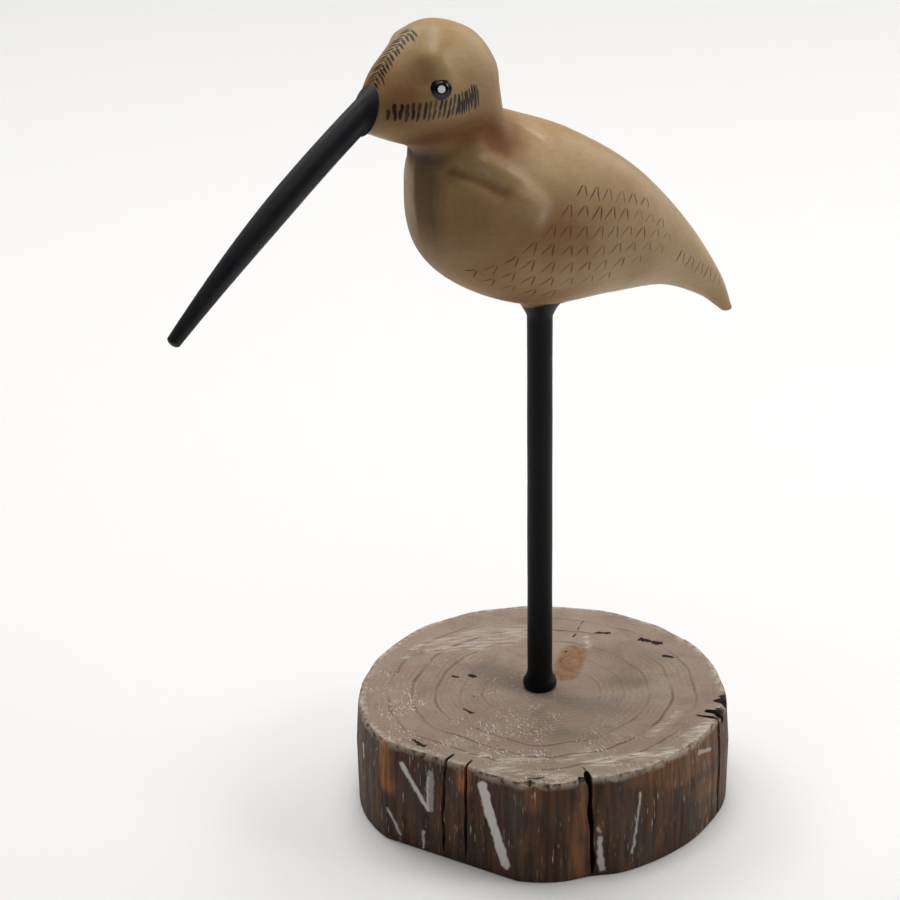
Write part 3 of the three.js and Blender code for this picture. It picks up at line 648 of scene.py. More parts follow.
inner = (along_bird(np.array([0.7]))[0, :4].reshape(2, 2)).mean(0)
tail_end = stations[0, :4].reshape(2, 2).mean(0)
outwards = (tail_end - inner) / np.linalg.norm(tail_end - inner)
middle = np.array([tail_end[0], 0, tail_end[1]])
tip = []
for lift in np.radians([88, 75, 60, 45, 30, 15]):
    step = TAIL_ROUND * math.sin(lift) * np.array([outwards[0], 0, outwards[1]])
    tip.append(middle + (skin[0] - middle) * math.cos(lift) + step)
bird = grid_mesh("carved_bird", np.concatenate([tip, skin]))

turn_deg = np.degrees(np.arcsin(rise)) + 0 * along_mm      # 90 on the back, -90 on the keel
x, y, z = one_side[:, :, 0], one_side[:, :, 1], one_side[:, :, 2]
# The stain everywhere, more in the hollows and a little less on the ridges, with the patches above added:
# partly stain, partly painted shade and painted light.
glaze = STAIN + 0.55 * np.clip(hollow / FULLY_DARKENED_HOLLOW, -0.15, 1.2)
for (at_x, at_z), (reach_x, reach_z), amount in STAIN_AND_SHADING_SPOTS:
    glaze += amount * np.exp(-(((x - at_x) / reach_x) ** 2 + ((z - at_z) / reach_z) ** 2))
from_keel = -skin[:, :, 1]                                 # mm towards the near side
# Painted shade beside the keel on the near side, and under the throat and chin: the colour is darkened there
# to stand for shade.
dark_pool = np.clip((from_keel - KEEL_SHADE_SIDES[0]) / 2.4, 0, 1)
dark_pool *= np.clip((KEEL_SHADE_SIDES[1] - from_keel) / 6.5, 0, 1)
dark_pool *= np.clip((z - KEEL_SHADE_HEIGHTS[0]) / 12, 0, 1) * np.clip((KEEL_SHADE_HEIGHTS[1] - z) / 5, 0, 1)
dark_pool *= KEEL_SHADE_DEPTH * (x < KEEL_SHADE_FRONT)
for (at_x, at_z), (reach_x, reach_z), amount in KEEL_SHADE_SPOTS:
    spot = amount * np.exp(-(((x - at_x) / reach_x) ** 2 + ((z - at_z) / reach_z) ** 2))
    dark_pool = np.maximum(dark_pool, spot)
handled = np.clip(-hollow / POLISHED_RIDGE, 0, 1)          # ridges that hands have polished
for name, values in (("along_mm", along_mm), ("from_bill_mm", along_mm[-1] - along_mm),
                     ("turn_deg", turn_deg), ("glaze", glaze), ("dark_pool", dark_pool),
                     ("handled", handled)):
    values = np.vstack([np.repeat(values[:1], len(tip), 0), values])
    write_attribute(bird, name, "FLOAT", np.append(values, [values[0, 0], values[-1, 0]]))

# A satin varnish over stain: soft wide reflections, and hollows painted darker, partly as stain and partly
# as painted shade. Grain and pores are drawn coarser than close-grained wood has them, so that they show.
CLOUD_MM = 22                      # size of the stain's uneven clouds
GRAIN_LENGTH, GRAIN_WIDTH = 40, 1.3
GRAIN_SLOPE = 28                   # degrees
stained_wood, tree, out = material("stained_satin_varnished_wood")
in_mm = in_millimetres(tree)
spot = add(tree, "ShaderNodeSeparateXYZ", {0: in_mm})
along = add(tree, "ShaderNodeAttribute", attribute_name="along_mm").outputs["Fac"]
turned = add(tree, "ShaderNodeAttribute", attribute_name="turn_deg").outputs["Fac"]
from_bill = add(tree, "ShaderNodeAttribute", attribute_name="from_bill_mm").outputs["Fac"]
stain_and_shading_share = add(tree, "ShaderNodeAttribute", attribute_name="glaze").outputs["Fac"]
dark_pool = add(tree, "ShaderNodeAttribute", attribute_name="dark_pool").outputs["Fac"]
far_side = add(tree, "ShaderNodeMath", {0: spot.outputs["Y"], 1: 0.0}, operation="GREATER_THAN")

clouds = add(tree, "ShaderNodeTexNoise", {
    "Vector": in_mm, "Scale": 1 / CLOUD_MM, "Detail": 4.0, "Roughness": 0.55})
grain_at = add(tree, "ShaderNodeMapping", {
    "Vector": in_mm, "Rotation": (0, math.radians(GRAIN_SLOPE), 0),
    "Scale": (1 / GRAIN_LENGTH, 1 / GRAIN_WIDTH, 1 / GRAIN_WIDTH)})
grain = add(tree, "ShaderNodeTexNoise", {"Vector": grain_at, "Scale": 1.0, "Detail": 3.0, "Distortion": 0.3})
cloud_stain = add(tree, "ShaderNodeMapRange", {0: clouds.outputs["Fac"], 1: 0.3, 2: 0.7, 3: -0.16, 4: 0.16})
stain_and_shading_share = add(tree, "ShaderNodeMath", {0: stain_and_shading_share, 1: cloud_stain}, operation="ADD")
grain_tone = add(tree, "ShaderNodeMapRange", {0: grain.outputs["Fac"], 1: 0.3, 2: 0.7, 3: 0.93, 4: 1.07})
# The tan goes brown with stain and painted shade, and dark brown with the painted shade by the keel.
tone = coats(tree, "#a6895c", ("#774e29", stain_and_shading_share), ("#352517", dark_pool))
tone = add(tree, "ShaderNodeVectorMath", {0: tone, "Scale": grain_tone}, operation="SCALE")


def stroke_group():
    """One brush stroke: across is mm from its line, along runs from 0 at its start to 1."""
    group = bpy.data.node_groups.new("brush_stroke", "ShaderNodeTree")
    for label, start in (("Across", 0.0), ("Along", 0.5), ("Width", 0.5), ("Strength", 1.0)):
        group.interface.new_socket(label, in_out="INPUT", socket_type="NodeSocketFloat").default_value = start
    group.interface.new_socket("Mask", in_out="OUTPUT", socket_type="NodeSocketFloat")
    given = add(group, "NodeGroupInput").outputs
    off_middle = add(group, "ShaderNodeMath", {0: given["Along"], 1: 0.42}, operation="SUBTRACT")
    off_middle = add(group, "ShaderNodeMath", {0: off_middle}, operation="ABSOLUTE")
    belly = add(group, "ShaderNodeMapRange", {0: off_middle, 1: 0.12, 2: 0.62, 3: 0.55, 4: 0.18},
                interpolation_type="SMOOTHSTEP")
    half = add(group, "ShaderNodeMath", {0: given["Width"], 1: belly}, operation="MULTIPLY")
    off_line = add(group, "ShaderNodeMath", {0: given["Across"]}, operation="ABSOLUTE")
    inside = add(group, "ShaderNodeMath", {0: half, 1: off_line}, operation="SUBTRACT")
    edge = add(group, "ShaderNodeMapRange", {0: inside, 1: -0.10, 2: 0.12}, interpolation_type="SMOOTHSTEP")
    start = add(group, "ShaderNodeMapRange", {0: given["Along"], 1: -0.03, 2: 0.05},
                interpolation_type="SMOOTHSTEP")
    end = add(group, "ShaderNodeMapRange", {0: given["Along"], 1: 1.03, 2: 0.85},
              interpolation_type="SMOOTHSTEP")
    mask = add(group, "ShaderNodeMath", {0: edge, 1: start}, operation="MULTIPLY")
    mask = add(group, "ShaderNodeMath", {0: mask, 1: end}, operation="MULTIPLY")
    mask = add(group, "ShaderNodeMath", {0: mask, 1: given["Strength"]}, operation="MULTIPLY")
    add(group, "NodeGroupOutput", {0: mask})
    return group


brush_stroke = stroke_group()
shake = add(tree, "ShaderNodeTexNoise", {"Vector": in_mm, "Scale": 1 / 3.0, "Detail": 1.0})
shake = shake.outputs["Color"]
shake = add(tree, "ShaderNodeVectorMath", {0: shake, 1: (0.5, 0.5, 0.5)}, operation="SUBTRACT")
shake = add(tree, "ShaderNodeSeparateXYZ", {0: shake})
shake_a = add(tree, "ShaderNodeMath", {0: shake.outputs["X"], 1: 0.9}, operation="MULTIPLY")
shake_b = add(tree, "ShaderNodeMath", {0: shake.outputs["Y"], 1: 0.9}, operation="MULTIPLY")


def chance(cell, lane, low, high):
    """Three random numbers for the stroke in this cell of this lane, another three on the far side."""
    seed = add(tree, "ShaderNodeCombineXYZ", {0: cell, 1: lane, 2: far_side})
    drawn = add(tree, "ShaderNodeTexWhiteNoise", {"Vector": seed}, noise_dimensions="3D")
    spread_out = add(tree, "ShaderNodeMapRange", {6: drawn.outputs["Color"], 9: low, 10: high},
                     data_type="FLOAT_VECTOR")
    return add(tree, "ShaderNodeSeparateXYZ", {0: spread_out.outputs[1]}).outputs


def cells(at, pitch, middle):
    """The number of the cell in a row, and mm from its middle, which lies at this share of the cell."""
    cell = add(tree, "ShaderNodeMath", {0: at}, operation="FLOOR")
    within = add(tree, "ShaderNodeMath", {0: at}, operation="FRACT")
    within = add(tree, "ShaderNodeMath", {0: within, 1: middle}, operation="SUBTRACT")
    return cell, add(tree, "ShaderNodeMath", {0: within, 1: pitch}, operation="MULTIPLY")


def in_row(cell, after_last):
    """1 in the cells of a row, which count from 0, and 0 before and after them."""
    begun = add(tree, "ShaderNodeMath", {0: cell, 1: -0.5}, operation="GREATER_THAN")
    going_on = add(tree, "ShaderNodeMath", {0: cell, 1: after_last}, operation="LESS_THAN")
    return add(tree, "ShaderNodeMath", {0: begun, 1: going_on}, operation="MULTIPLY")


# Wing marks: lanes that run back along the side, each a row of inverted Vs. All rows of marks follow
# points picked in the photograph, which a ray cast carried onto the bird.
LANE_DEG, LANE_TOP, LANE_TILT = 12.8, 34.0, 0.22     # height and top in degrees of turn, tilt per mm
FIRST_MARK = (113.6, 3.6)          # mm from the tail's end, and how much more for each lane down
MARK_PITCH = (6.8, 0.35)
MARKS_IN_LANE = [6, 8, 9, 9, 8, 7, 5]
LANES, MOST_MARKS = 8, 10          # steps of the ramp that holds those counts, and its full value
LANE_FROM = 112                    # mm from the tail's end at which the top is as given
LANE_LEAD, MARK_LEAD = 0.12, 0.40  # shares of a lane and of a mark that lie before the first leg
LEG_SHARE = 9.6 / LANE_DEG         # share of the lane's height that a leg takes
WING_STROKE = 0.66
LEGS = [(-0.35, -1.7), (0.55, 2.7)]     # mm from the mark's middle at the top, and sideways run
tilted = add(tree, "ShaderNodeMath", {0: along, 1: -LANE_TILT, 2: LANE_TOP + LANE_FROM * LANE_TILT},
             operation="MULTIPLY_ADD")
lane_at = add(tree, "ShaderNodeMath", {0: tilted, 1: turned}, operation="SUBTRACT")
lane_at = add(tree, "ShaderNodeMath", {0: lane_at, 1: 1 / LANE_DEG, 2: LANE_LEAD}, operation="MULTIPLY_ADD")
lane_at = add(tree, "ShaderNodeMath", {0: shake_b, 1: 0.14, 2: lane_at}, operation="MULTIPLY_ADD")
lane = add(tree, "ShaderNodeMath", {0: lane_at}, operation="FLOOR")
down_lane = add(tree, "ShaderNodeMath", {0: lane_at}, operation="FRACT")
pitch = add(tree, "ShaderNodeMath", {0: lane, 1: MARK_PITCH[1], 2: MARK_PITCH[0]}, operation="MULTIPLY_ADD")
from_first = add(tree, "ShaderNodeMath", {0: lane, 1: FIRST_MARK[1], 2: FIRST_MARK[0]},
                 operation="MULTIPLY_ADD")
from_first = add(tree, "ShaderNodeMath", {0: from_first, 1: along}, operation="SUBTRACT")
from_first = add(tree, "ShaderNodeMath", {0: from_first, 1: shake_a}, operation="ADD")
mark_at = add(tree, "ShaderNodeMath", {0: from_first, 1: pitch}, operation="DIVIDE")
mark_at = add(tree, "ShaderNodeMath", {0: mark_at, 1: MARK_LEAD}, operation="ADD")
mark, in_mark = cells(mark_at, pitch, MARK_LEAD)
lane_share = add(tree, "ShaderNodeMath", {0: lane, 1: 1 / LANES, 2: 0.5 / LANES}, operation="MULTIPLY_ADD")
last_mark = add(tree, "ShaderNodeValToRGB", {0: lane_share})
last_mark.color_ramp.interpolation = "CONSTANT"
for number, marks in enumerate([*MARKS_IN_LANE, 0]):
    stops = last_mark.color_ramp.elements
    stop = stops[0] if number == 0 else stops.new(number / LANES)
    stop.color = (marks / MOST_MARKS, marks / MOST_MARKS, marks / MOST_MARKS, 1)
stops.remove(stops[-1])
last_mark = add(tree, "ShaderNodeMath", {0: last_mark.outputs[0], 1: MOST_MARKS, 2: -0.5},
                operation="MULTIPLY_ADD")
painted = in_row(mark, last_mark)
below_top = add(tree, "ShaderNodeMath", {0: lane_at, 1: 0.0}, operation="GREATER_THAN")
painted = add(tree, "ShaderNodeMath", {0: painted, 1: below_top}, operation="MULTIPLY")
chances = chance(mark, lane, (-0.5, 0.82, 0.6), (0.5, 1.12, 1.1))
fade = add(tree, "ShaderNodeMapRange", {0: mark, 1: 3.0, 2: 9.0, 3: 1.0, 4: 0.6})
faded = add(tree, "ShaderNodeMath", {0: chances["Z"], 1: fade}, operation="MULTIPLY")
strength = add(tree, "ShaderNodeMath", {0: painted, 1: faded}, operation="MULTIPLY")
brown_marks, black_marks = [], []
for start, run in LEGS:
    down_leg = add(tree, "ShaderNodeMath", {0: down_lane, 1: LANE_LEAD}, operation="SUBTRACT")
    down_leg = add(tree, "ShaderNodeMath", {0: down_leg, 1: 1 / LEG_SHARE}, operation="MULTIPLY")
    down_leg = add(tree, "ShaderNodeMath", {0: down_leg, 1: chances["Y"]}, operation="DIVIDE")
    line = add(tree, "ShaderNodeMath", {0: down_leg, 1: run, 2: start}, operation="MULTIPLY_ADD")
    line = add(tree, "ShaderNodeMath", {0: line, 1: chances["X"]}, operation="ADD")
    across = add(tree, "ShaderNodeMath", {0: in_mark, 1: line}, operation="SUBTRACT")
    brown_marks.append(add(tree, "ShaderNodeGroup", {
        "Across": across, "Along": down_leg, "Width": WING_STROKE, "Strength": strength},
        node_tree=brush_stroke))

# Tail marks: one row of the same Vs, from the wing's end to the tip.
TAIL_FIRST, TAIL_SLOPE = (53.4, 0, 213), 36.5   # the first mark's place, and degrees downwards
TAIL_PITCH, TAIL_MARKS, TAIL_LEAD = 6.72, 5, 0.12
TAIL_LEGS = [(0.0, -0.2, 0.0, 5.6), (1.9, 2.5, -0.2, 4.4)]      # start, sideways run, top, length
tail_at = add(tree, "ShaderNodeMapping", {
    "Vector": in_mm, "Location": TAIL_FIRST, "Rotation": (0, math.radians(TAIL_SLOPE), 0),
    "Scale": (TAIL_PITCH, 1, 1)}, vector_type="TEXTURE")
tail_at = add(tree, "ShaderNodeSeparateXYZ", {0: tail_at})
tail_mark_at = add(tree, "ShaderNodeMath", {0: shake_a, 1: 0.12, 2: tail_at.outputs["X"]},
                   operation="MULTIPLY_ADD")
tail_mark_at = add(tree, "ShaderNodeMath", {0: tail_mark_at, 1: TAIL_LEAD}, operation="ADD")
tail_mark, in_tail_mark = cells(tail_mark_at, TAIL_PITCH, TAIL_LEAD)
tail_chances = chance(tail_mark, -5.0, (-0.3, 0.85, 0.55), (0.3, 1.1, 1.0))
tail_strength = in_row(tail_mark, TAIL_MARKS - 0.5)
tail_strength = add(tree, "ShaderNodeMath", {0: tail_strength, 1: tail_chances["Z"]}, operation="MULTIPLY")
for start, run, top, length in TAIL_LEGS:
    down_leg = add(tree, "ShaderNodeMath", {0: tail_at.outputs["Z"], 1: -1 / length, 2: top / length},
                   operation="MULTIPLY_ADD")
    line = add(tree, "ShaderNodeMath", {0: down_leg, 1: run, 2: start}, operation="MULTIPLY_ADD")
    line = add(tree, "ShaderNodeMath", {0: line, 1: tail_chances["X"]}, operation="ADD")
    across = add(tree, "ShaderNodeMath", {0: in_tail_mark, 1: line}, operation="SUBTRACT")
    brown_marks.append(add(tree, "ShaderNodeGroup", {
        "Across": across, "Along": down_leg, "Width": WING_STROKE, "Strength": tail_strength},
        node_tree=brush_stroke))

# The band through the eye: staggered rows of near-upright dashes, closer set and taller behind it.
EYE_BAND = [       # first dash, how many, pitch, lean, width; foot and head of a dash in front, and behind
    (-69.0, 14, 1.80, 0.14, 1.0, (287.3, 291.4), (286.6, 291.0)),
    (-67.2, 13, 1.80, 0.14, 1.0, (290.0, 293.9), (290.0, 295.0)),
    (-44.6, 9, 1.07, -0.06, 0.85, (286.5, 292.2), (287.3, 294.0)),
    (-44.0, 8, 1.11, -0.12, 0.85, (290.2, 295.2), (289.8, 297.6))]
LEAN_FROM = 290                    # the height at which a leaning dash stands where its row says
for number, (first, dashes, gap, lean, width, in_front, behind) in enumerate(EYE_BAND):
    dash_at = add(tree, "ShaderNodeMath", {0: spot.outputs["X"], 1: 1 / gap, 2: -first / gap},
                  operation="MULTIPLY_ADD")
    upright = add(tree, "ShaderNodeMath", {0: spot.outputs["Z"], 1: -lean / gap, 2: lean / gap * LEAN_FROM},
                  operation="MULTIPLY_ADD")
    dash_at = add(tree, "ShaderNodeMath", {0: dash_at, 1: upright}, operation="ADD")
    dash_at = add(tree, "ShaderNodeMath", {0: shake_a, 1: 0.5, 2: dash_at}, operation="MULTIPLY_ADD")
    dash, in_dash = cells(dash_at, gap, 0.5)
    dash_chances = chance(dash, -9.0 - number, (-0.25, -0.6, 0.7), (0.25, 0.6, 1.1))
    in_dash = add(tree, "ShaderNodeMath", {0: in_dash, 1: dash_chances["X"]}, operation="SUBTRACT")
    last = first + dashes * gap
    foot = add(tree, "ShaderNodeMapRange", {
        0: spot.outputs["X"], 1: first, 2: last, 3: in_front[0], 4: behind[0]})
    head = add(tree, "ShaderNodeMapRange", {
        0: spot.outputs["X"], 1: first, 2: last, 3: in_front[1], 4: behind[1]})
    up_dash = add(tree, "ShaderNodeMapRange", {0: spot.outputs["Z"], 1: foot, 2: head, 3: 1.0, 4: 0.0},
                  clamp=False)
    up_dash = add(tree, "ShaderNodeMath", {0: dash_chances["Y"], 1: 0.2, 2: up_dash},
                  operation="MULTIPLY_ADD")
    dash_strength = in_row(dash, dashes - 0.5)
    dash_strength = add(tree, "ShaderNodeMath", {0: dash_strength, 1: dash_chances["Z"]},
                        operation="MULTIPLY")
    black_marks.append(add(tree, "ShaderNodeGroup", {
        "Across": in_dash, "Along": up_dash, "Width": width, "Strength": dash_strength},
        node_tree=brush_stroke))

# The forehead stripe: two columns of slanted strokes that meet beside the middle line.
STRIPE_LENGTH, STRIPE_PITCH, STRIPE_MIDDLE = 25.0, 1.6, 1.6
STRIPE_COLUMNS = [(-1, 5.6, 0.22), (1, 4.4, 0.5)]      # side, width and slant towards the bill
STRIPE_STROKE = 0.95
STRIPE_TURN = 20.0                 # degrees of turn above which the skin is the top of the head
on_top = add(tree, "ShaderNodeMath", {0: turned, 1: STRIPE_TURN}, operation="GREATER_THAN")
for side, reach, slant in STRIPE_COLUMNS:
    out_of_middle = add(tree, "ShaderNodeMath", {0: spot.outputs["Y"], 1: side, 2: -side * STRIPE_MIDDLE},
                        operation="MULTIPLY_ADD")
    stroke_at = add(tree, "ShaderNodeMath", {0: out_of_middle, 1: slant, 2: from_bill},
                    operation="MULTIPLY_ADD")
    stroke_at = add(tree, "ShaderNodeMath", {0: shake_b, 1: 0.6, 2: stroke_at}, operation="MULTIPLY_ADD")
    stroke_at = add(tree, "ShaderNodeMath", {0: stroke_at, 1: 1 / STRIPE_PITCH, 2: 0.25 * side},
                    operation="MULTIPLY_ADD")
    one, in_one = cells(stroke_at, STRIPE_PITCH, 0.5)
    one_chances = chance(one, -20.0 - side, (-0.25, 0.75, 0.8), (0.25, 1.2, 1.2))
    in_one = add(tree, "ShaderNodeMath", {0: in_one, 1: one_chances["X"]}, operation="SUBTRACT")
    along_one = add(tree, "ShaderNodeMath", {0: out_of_middle, 1: 1 / reach}, operation="MULTIPLY")
    along_one = add(tree, "ShaderNodeMath", {0: along_one, 1: one_chances["Y"]}, operation="DIVIDE")
    stripe = add(tree, "ShaderNodeMapRange", {
        0: from_bill, 1: STRIPE_LENGTH, 2: STRIPE_LENGTH + 0.8, 3: 1.0, 4: 0.0})
    stripe = add(tree, "ShaderNodeMath", {0: stripe, 1: on_top}, operation="MULTIPLY")
    stripe = add(tree, "ShaderNodeMath", {0: stripe, 1: one_chances["Z"]}, operation="MULTIPLY")
    black_marks.append(add(tree, "ShaderNodeGroup", {
        "Across": in_one, "Along": along_one, "Width": STRIPE_STROKE, "Strength": stripe},
        node_tree=brush_stroke))

black_mark = black_marks[0]
for mark in black_marks[1:]:
    black_mark = add(tree, "ShaderNodeMath", {0: black_mark, 1: mark}, operation="MAXIMUM")
inked = black_mark
for mark in brown_marks:
    inked = add(tree, "ShaderNodeMath", {0: inked, 1: mark}, operation="MAXIMUM")
ink = coats(tree, "#522a0e", ("#16100b", black_mark))
colour = coats(tree, tone, (ink, inked))

tool_marks = add(tree, "ShaderNodeTexNoise", {"Vector": in_mm, "Scale": 1 / 9, "Detail": 2.0})
pores = add(tree, "ShaderNodeTexNoise", {"Vector": grain_at, "Scale": 3.0, "Detail": 2.0})
relief = add(tree, "ShaderNodeMath", {0: tool_marks.outputs["Fac"], 1: 12.0, 2: pores.outputs["Fac"]},
             operation="MULTIPLY_ADD")
bumps = add(tree, "ShaderNodeBump", {"Height": relief, "Strength": 0.6, "Distance": 0.03 * MM})
# Where stain and painted shade darken the colour, the varnish gets less coat and more roughness.
stain_and_shade_amount = add(tree, "ShaderNodeMath", {0: dark_pool, 1: 2.0, 2: stain_and_shading_share}, operation="MULTIPLY_ADD")
polished = add(tree, "ShaderNodeMapRange", {0: stain_and_shade_amount, 1: 0.15, 2: 0.75, 3: 0.22, 4: 0.0})
handled = add(tree, "ShaderNodeAttribute", attribute_name="handled").outputs["Fac"]
polished = add(tree, "ShaderNodeMath", {0: handled, 1: 0.7, 2: polished}, operation="MULTIPLY_ADD")
shine = add(tree, "ShaderNodeMapRange", {0: clouds.outputs["Fac"], 1: 0.3, 2: 0.7, 3: 0.48, 4: 0.58})
duller = add(tree, "ShaderNodeMath", {0: stain_and_shade_amount, 1: 1.5}, operation="MINIMUM")
shine = add(tree, "ShaderNodeMath", {0: duller, 1: 0.12, 2: shine}, operation="MULTIPLY_ADD")
wood = add(tree, "ShaderNodeBsdfPrincipled", {
    "Base Color": colour, "Roughness": shine, "Normal": bumps,
    "Specular IOR Level": 0.3, "Coat Weight": polished, "Coat Roughness": 0.28})
tree.links.new(wood.outputs[0], out.inputs[0])
bird.data.materials.append(stained_wood)
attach(bird, "root")
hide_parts("body")


# EYES
# Two domed black beads, glossy and most likely plastic, each let into a shallow socket in the
# head. A groove runs round inside the rim, and a white dot is painted in the dimple in the middle.

EYE_PLACE = (-51.1, 16.6, 298.0)   # where the bead's axis meets the head; mirrored on the far side
EYE_FORWARD, EYE_UP = 22, 16       # degrees that it looks forward of sideways, and up
EYE_RADIUS, EYE_SET = 3.8, 0.9     # and how deep the bead sits in its socket
EYE_DOME, EYE_EDGE = 1.3, 0.35     # height of the dome over its edge, and of the edge over the head
EYE_GROOVE = (2.75, 0.35, 0.16)    # how far out the groove runs, its half width and its depth
EYE_DIMPLE = (1.45, 0.22)          # radius and depth
EYE_RINGS, EYE_SIDES = 40, 56

out_from_axis = np.linspace(1, 0.012, EYE_RINGS) * EYE_RADIUS
eye_top = EYE_EDGE + EYE_DOME
dome = bend([(EYE_RADIUS, EYE_EDGE), (EYE_RADIUS * 0.72, eye_top), (0, eye_top)], 200)
proud = np.interp(out_from_axis, dome[::-1, 0], dome[::-1, 1])
proud -= EYE_GROOVE[2] * np.exp(-(((out_from_axis - EYE_GROOVE[0]) / EYE_GROOVE[1]) ** 2))
proud -= EYE_DIMPLE[1] * np.clip((EYE_DIMPLE[0] - out_from_axis) / 0.3, 0, 1)
outline = np.vstack([[(EYE_RADIUS * share, -EYE_SET) for share in (0.02, 0.5, 0.97)],
                     [(EYE_RADIUS, -EYE_SET + 0.05), (EYE_RADIUS, -0.2), (EYE_RADIUS, EYE_EDGE - 0.05)],
                     np.stack([out_from_axis, proud], -1)])
turn = 2 * math.pi * np.arange(EYE_SIDES) / EYE_SIDES
bead = grid_mesh("bead", np.stack([outline[:, :1] * np.cos(turn), outline[:, :1] * np.sin(turn),
                                   outline[:, 1:] + 0 * turn], -1), 60)
write_attribute(bead, "from_axis_mm", "FLOAT", np.append(np.repeat(outline[:, 0], EYE_SIDES), [0, 0]))

# Glossy black plastic: deep black with small bright glints, and a brushed white dot whose paint
# shows a grey swirl.
EYE_DOT = 1.28
eye_gloss, tree, out = material("glossy_black_plastic_with_painted_dot")
from_axis = add(tree, "ShaderNodeAttribute", attribute_name="from_axis_mm").outputs["Fac"]
in_mm = in_millimetres(tree)
swirl = add(tree, "ShaderNodeTexNoise", {"Vector": in_mm, "Scale": 1 / 0.8, "Detail": 2.0, "Distortion": 1.5})
wobbled = add(tree, "ShaderNodeMath", {0: swirl.outputs["Fac"], 1: 0.35, 2: from_axis},
              operation="MULTIPLY_ADD")
dot = add(tree, "ShaderNodeMapRange", {0: wobbled, 1: EYE_DOT + 0.12, 2: EYE_DOT + 0.28, 3: 1.0, 4: 0.0})
grey = add(tree, "ShaderNodeMapRange", {0: swirl.outputs["Fac"], 1: 0.42, 2: 0.60, 3: 0.0, 4: 0.5})
dot_paint = coats(tree, "#fbfbfa", ("#bdbdbe", grey))
# A lighter ring painted along the groove is a painted sheen.
painted_groove_sheen = add(tree, "ShaderNodeMath", {0: from_axis, 1: EYE_GROOVE[0]}, operation="SUBTRACT")
painted_groove_sheen = add(tree, "ShaderNodeMath", {0: painted_groove_sheen}, operation="ABSOLUTE")
painted_groove_sheen = add(tree, "ShaderNodeMapRange", {0: painted_groove_sheen, 1: 0.0, 2: 0.4, 3: 0.4, 4: 0.0})
colour = coats(tree, "#08090b", ("#26282b", painted_groove_sheen), (dot_paint, dot))
dullness = add(tree, "ShaderNodeMapRange", {0: dot, 3: 0.26, 4: 0.5})
gloss = add(tree, "ShaderNodeBsdfPrincipled", {"Base Color": colour, "Roughness": dullness})
tree.links.new(gloss.outputs[0], out.inputs[0])
bead.data.materials.append(eye_gloss)


def nodes_for(name, sizes, carrier):
    """A Geometry Nodes tree on a new object, with an input for each size."""
    tree = bpy.data.node_groups.new(name, "GeometryNodeTree")
    tree.interface.new_socket("Geometry", in_out="OUTPUT", socket_type="NodeSocketGeometry")
    piece = bpy.data.objects.new(name, bpy.data.meshes.new(name))
    bpy.context.scene.collection.objects.link(piece)
    work = piece.modifiers.new(carrier, "NODES")
    kinds = {float: "NodeSocketFloat", int: "NodeSocketInt", tuple: "NodeSocketVector",
             bpy.types.Object: "NodeSocketObject", bpy.types.Material: "NodeSocketMaterial"}
    keys = {label: tree.interface.new_socket(label, in_out="INPUT", socket_type=kinds[type(value)]).identifier
            for label, value in sizes.items()}
    work.node_group = tree
    for label, value in sizes.items():
        work[keys[label]] = value
    return tree, add(tree, "NodeGroupInput"), piece


def as_plain_mesh(tree, shape, finish, piece):
    """Ends the tree, and turns what it makes into the piece's own mesh."""
    real = add(tree, "GeometryNodeRealizeInstances", {0: shape})
    finished = add(tree, "GeometryNodeSetMaterial", {"Geometry": real, "Material": finish})
    add(tree, "NodeGroupOutput", {0: finished})
    bpy.context.view_layer.update()
    seen = piece.evaluated_get(bpy.context.evaluated_depsgraph_get())
    made = bpy.data.meshes.new_from_object(seen)
    piece.modifiers.clear()
    piece.data = made
    piece.data.name = piece.name
    return piece


tree, given, eyes = nodes_for("eye_beads", {
    "Bead": bead, "Place": tuple(v * MM for v in EYE_PLACE), "Forward": math.radians(EYE_FORWARD),
    "Up": math.radians(EYE_UP), "Finish": eye_gloss}, "two_eyes")
for side in (-1, 1):
    mirrored = add(tree, "ShaderNodeVectorMath", {0: given.outputs["Place"], 1: (1, side, 1)},
                   operation="MULTIPLY")
    spot = add(tree, "GeometryNodePoints", {"Position": mirrored})
    lift = add(tree, "ShaderNodeMath", {0: given.outputs["Up"], 1: -math.pi / 2}, operation="ADD")
    tilt = add(tree, "ShaderNodeMath", {0: lift, 1: side}, operation="MULTIPLY")
    swing = add(tree, "ShaderNodeMath", {0: given.outputs["Forward"], 1: side}, operation="MULTIPLY")
    turned = add(tree, "ShaderNodeCombineXYZ", {0: tilt, 2: swing})
    shape = add(tree, "GeometryNodeObjectInfo", {"Object": given.outputs["Bead"], "As Instance": True})
    both = add(tree, "GeometryNodeInstanceOnPoints", {
        "Points": spot, "Instance": shape.outputs["Geometry"], "Rotation": turned})
    if side < 0:
        near = both
pair = add(tree, "GeometryNodeJoinGeometry", {0: near})
tree.links.new(both.outputs[0], pair.inputs[0])
as_plain_mesh(tree, pair, given.outputs["Finish"], eyes)
bpy.data.objects.remove(bead)
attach(eyes, "root")
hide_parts("eye_left", "eye_right")


# BILL
# A tapered, bent stick of wood, butted and glued to the face, with a fillet of paint round the
# joint. It is painted black like the dowel, but smoother, with a soft shine along the top.

# Bend, tip, taper and the tip's radius came out of a program that fitted a curve.
BILL_BEND, BILL_TIP = (-111.4, 259.7), (-149.1, 220.9)
BILL_RADIUS, BILL_TIP_RADIUS, BILL_TIP_ROUND = 5.06, 2.6, 1.6
BILL_TAPER = (0.36, 1.44)          # shares of the length where the taper starts and would end
BILL_BLEND = 0.14                  # share that turns from the face's plane
BILL_FLARE = 0.04                  # share where paint and glue widen the root
BILL_STEPS, BILL_TIP_STEPS, BILL_SIDES = 120, 14, 48

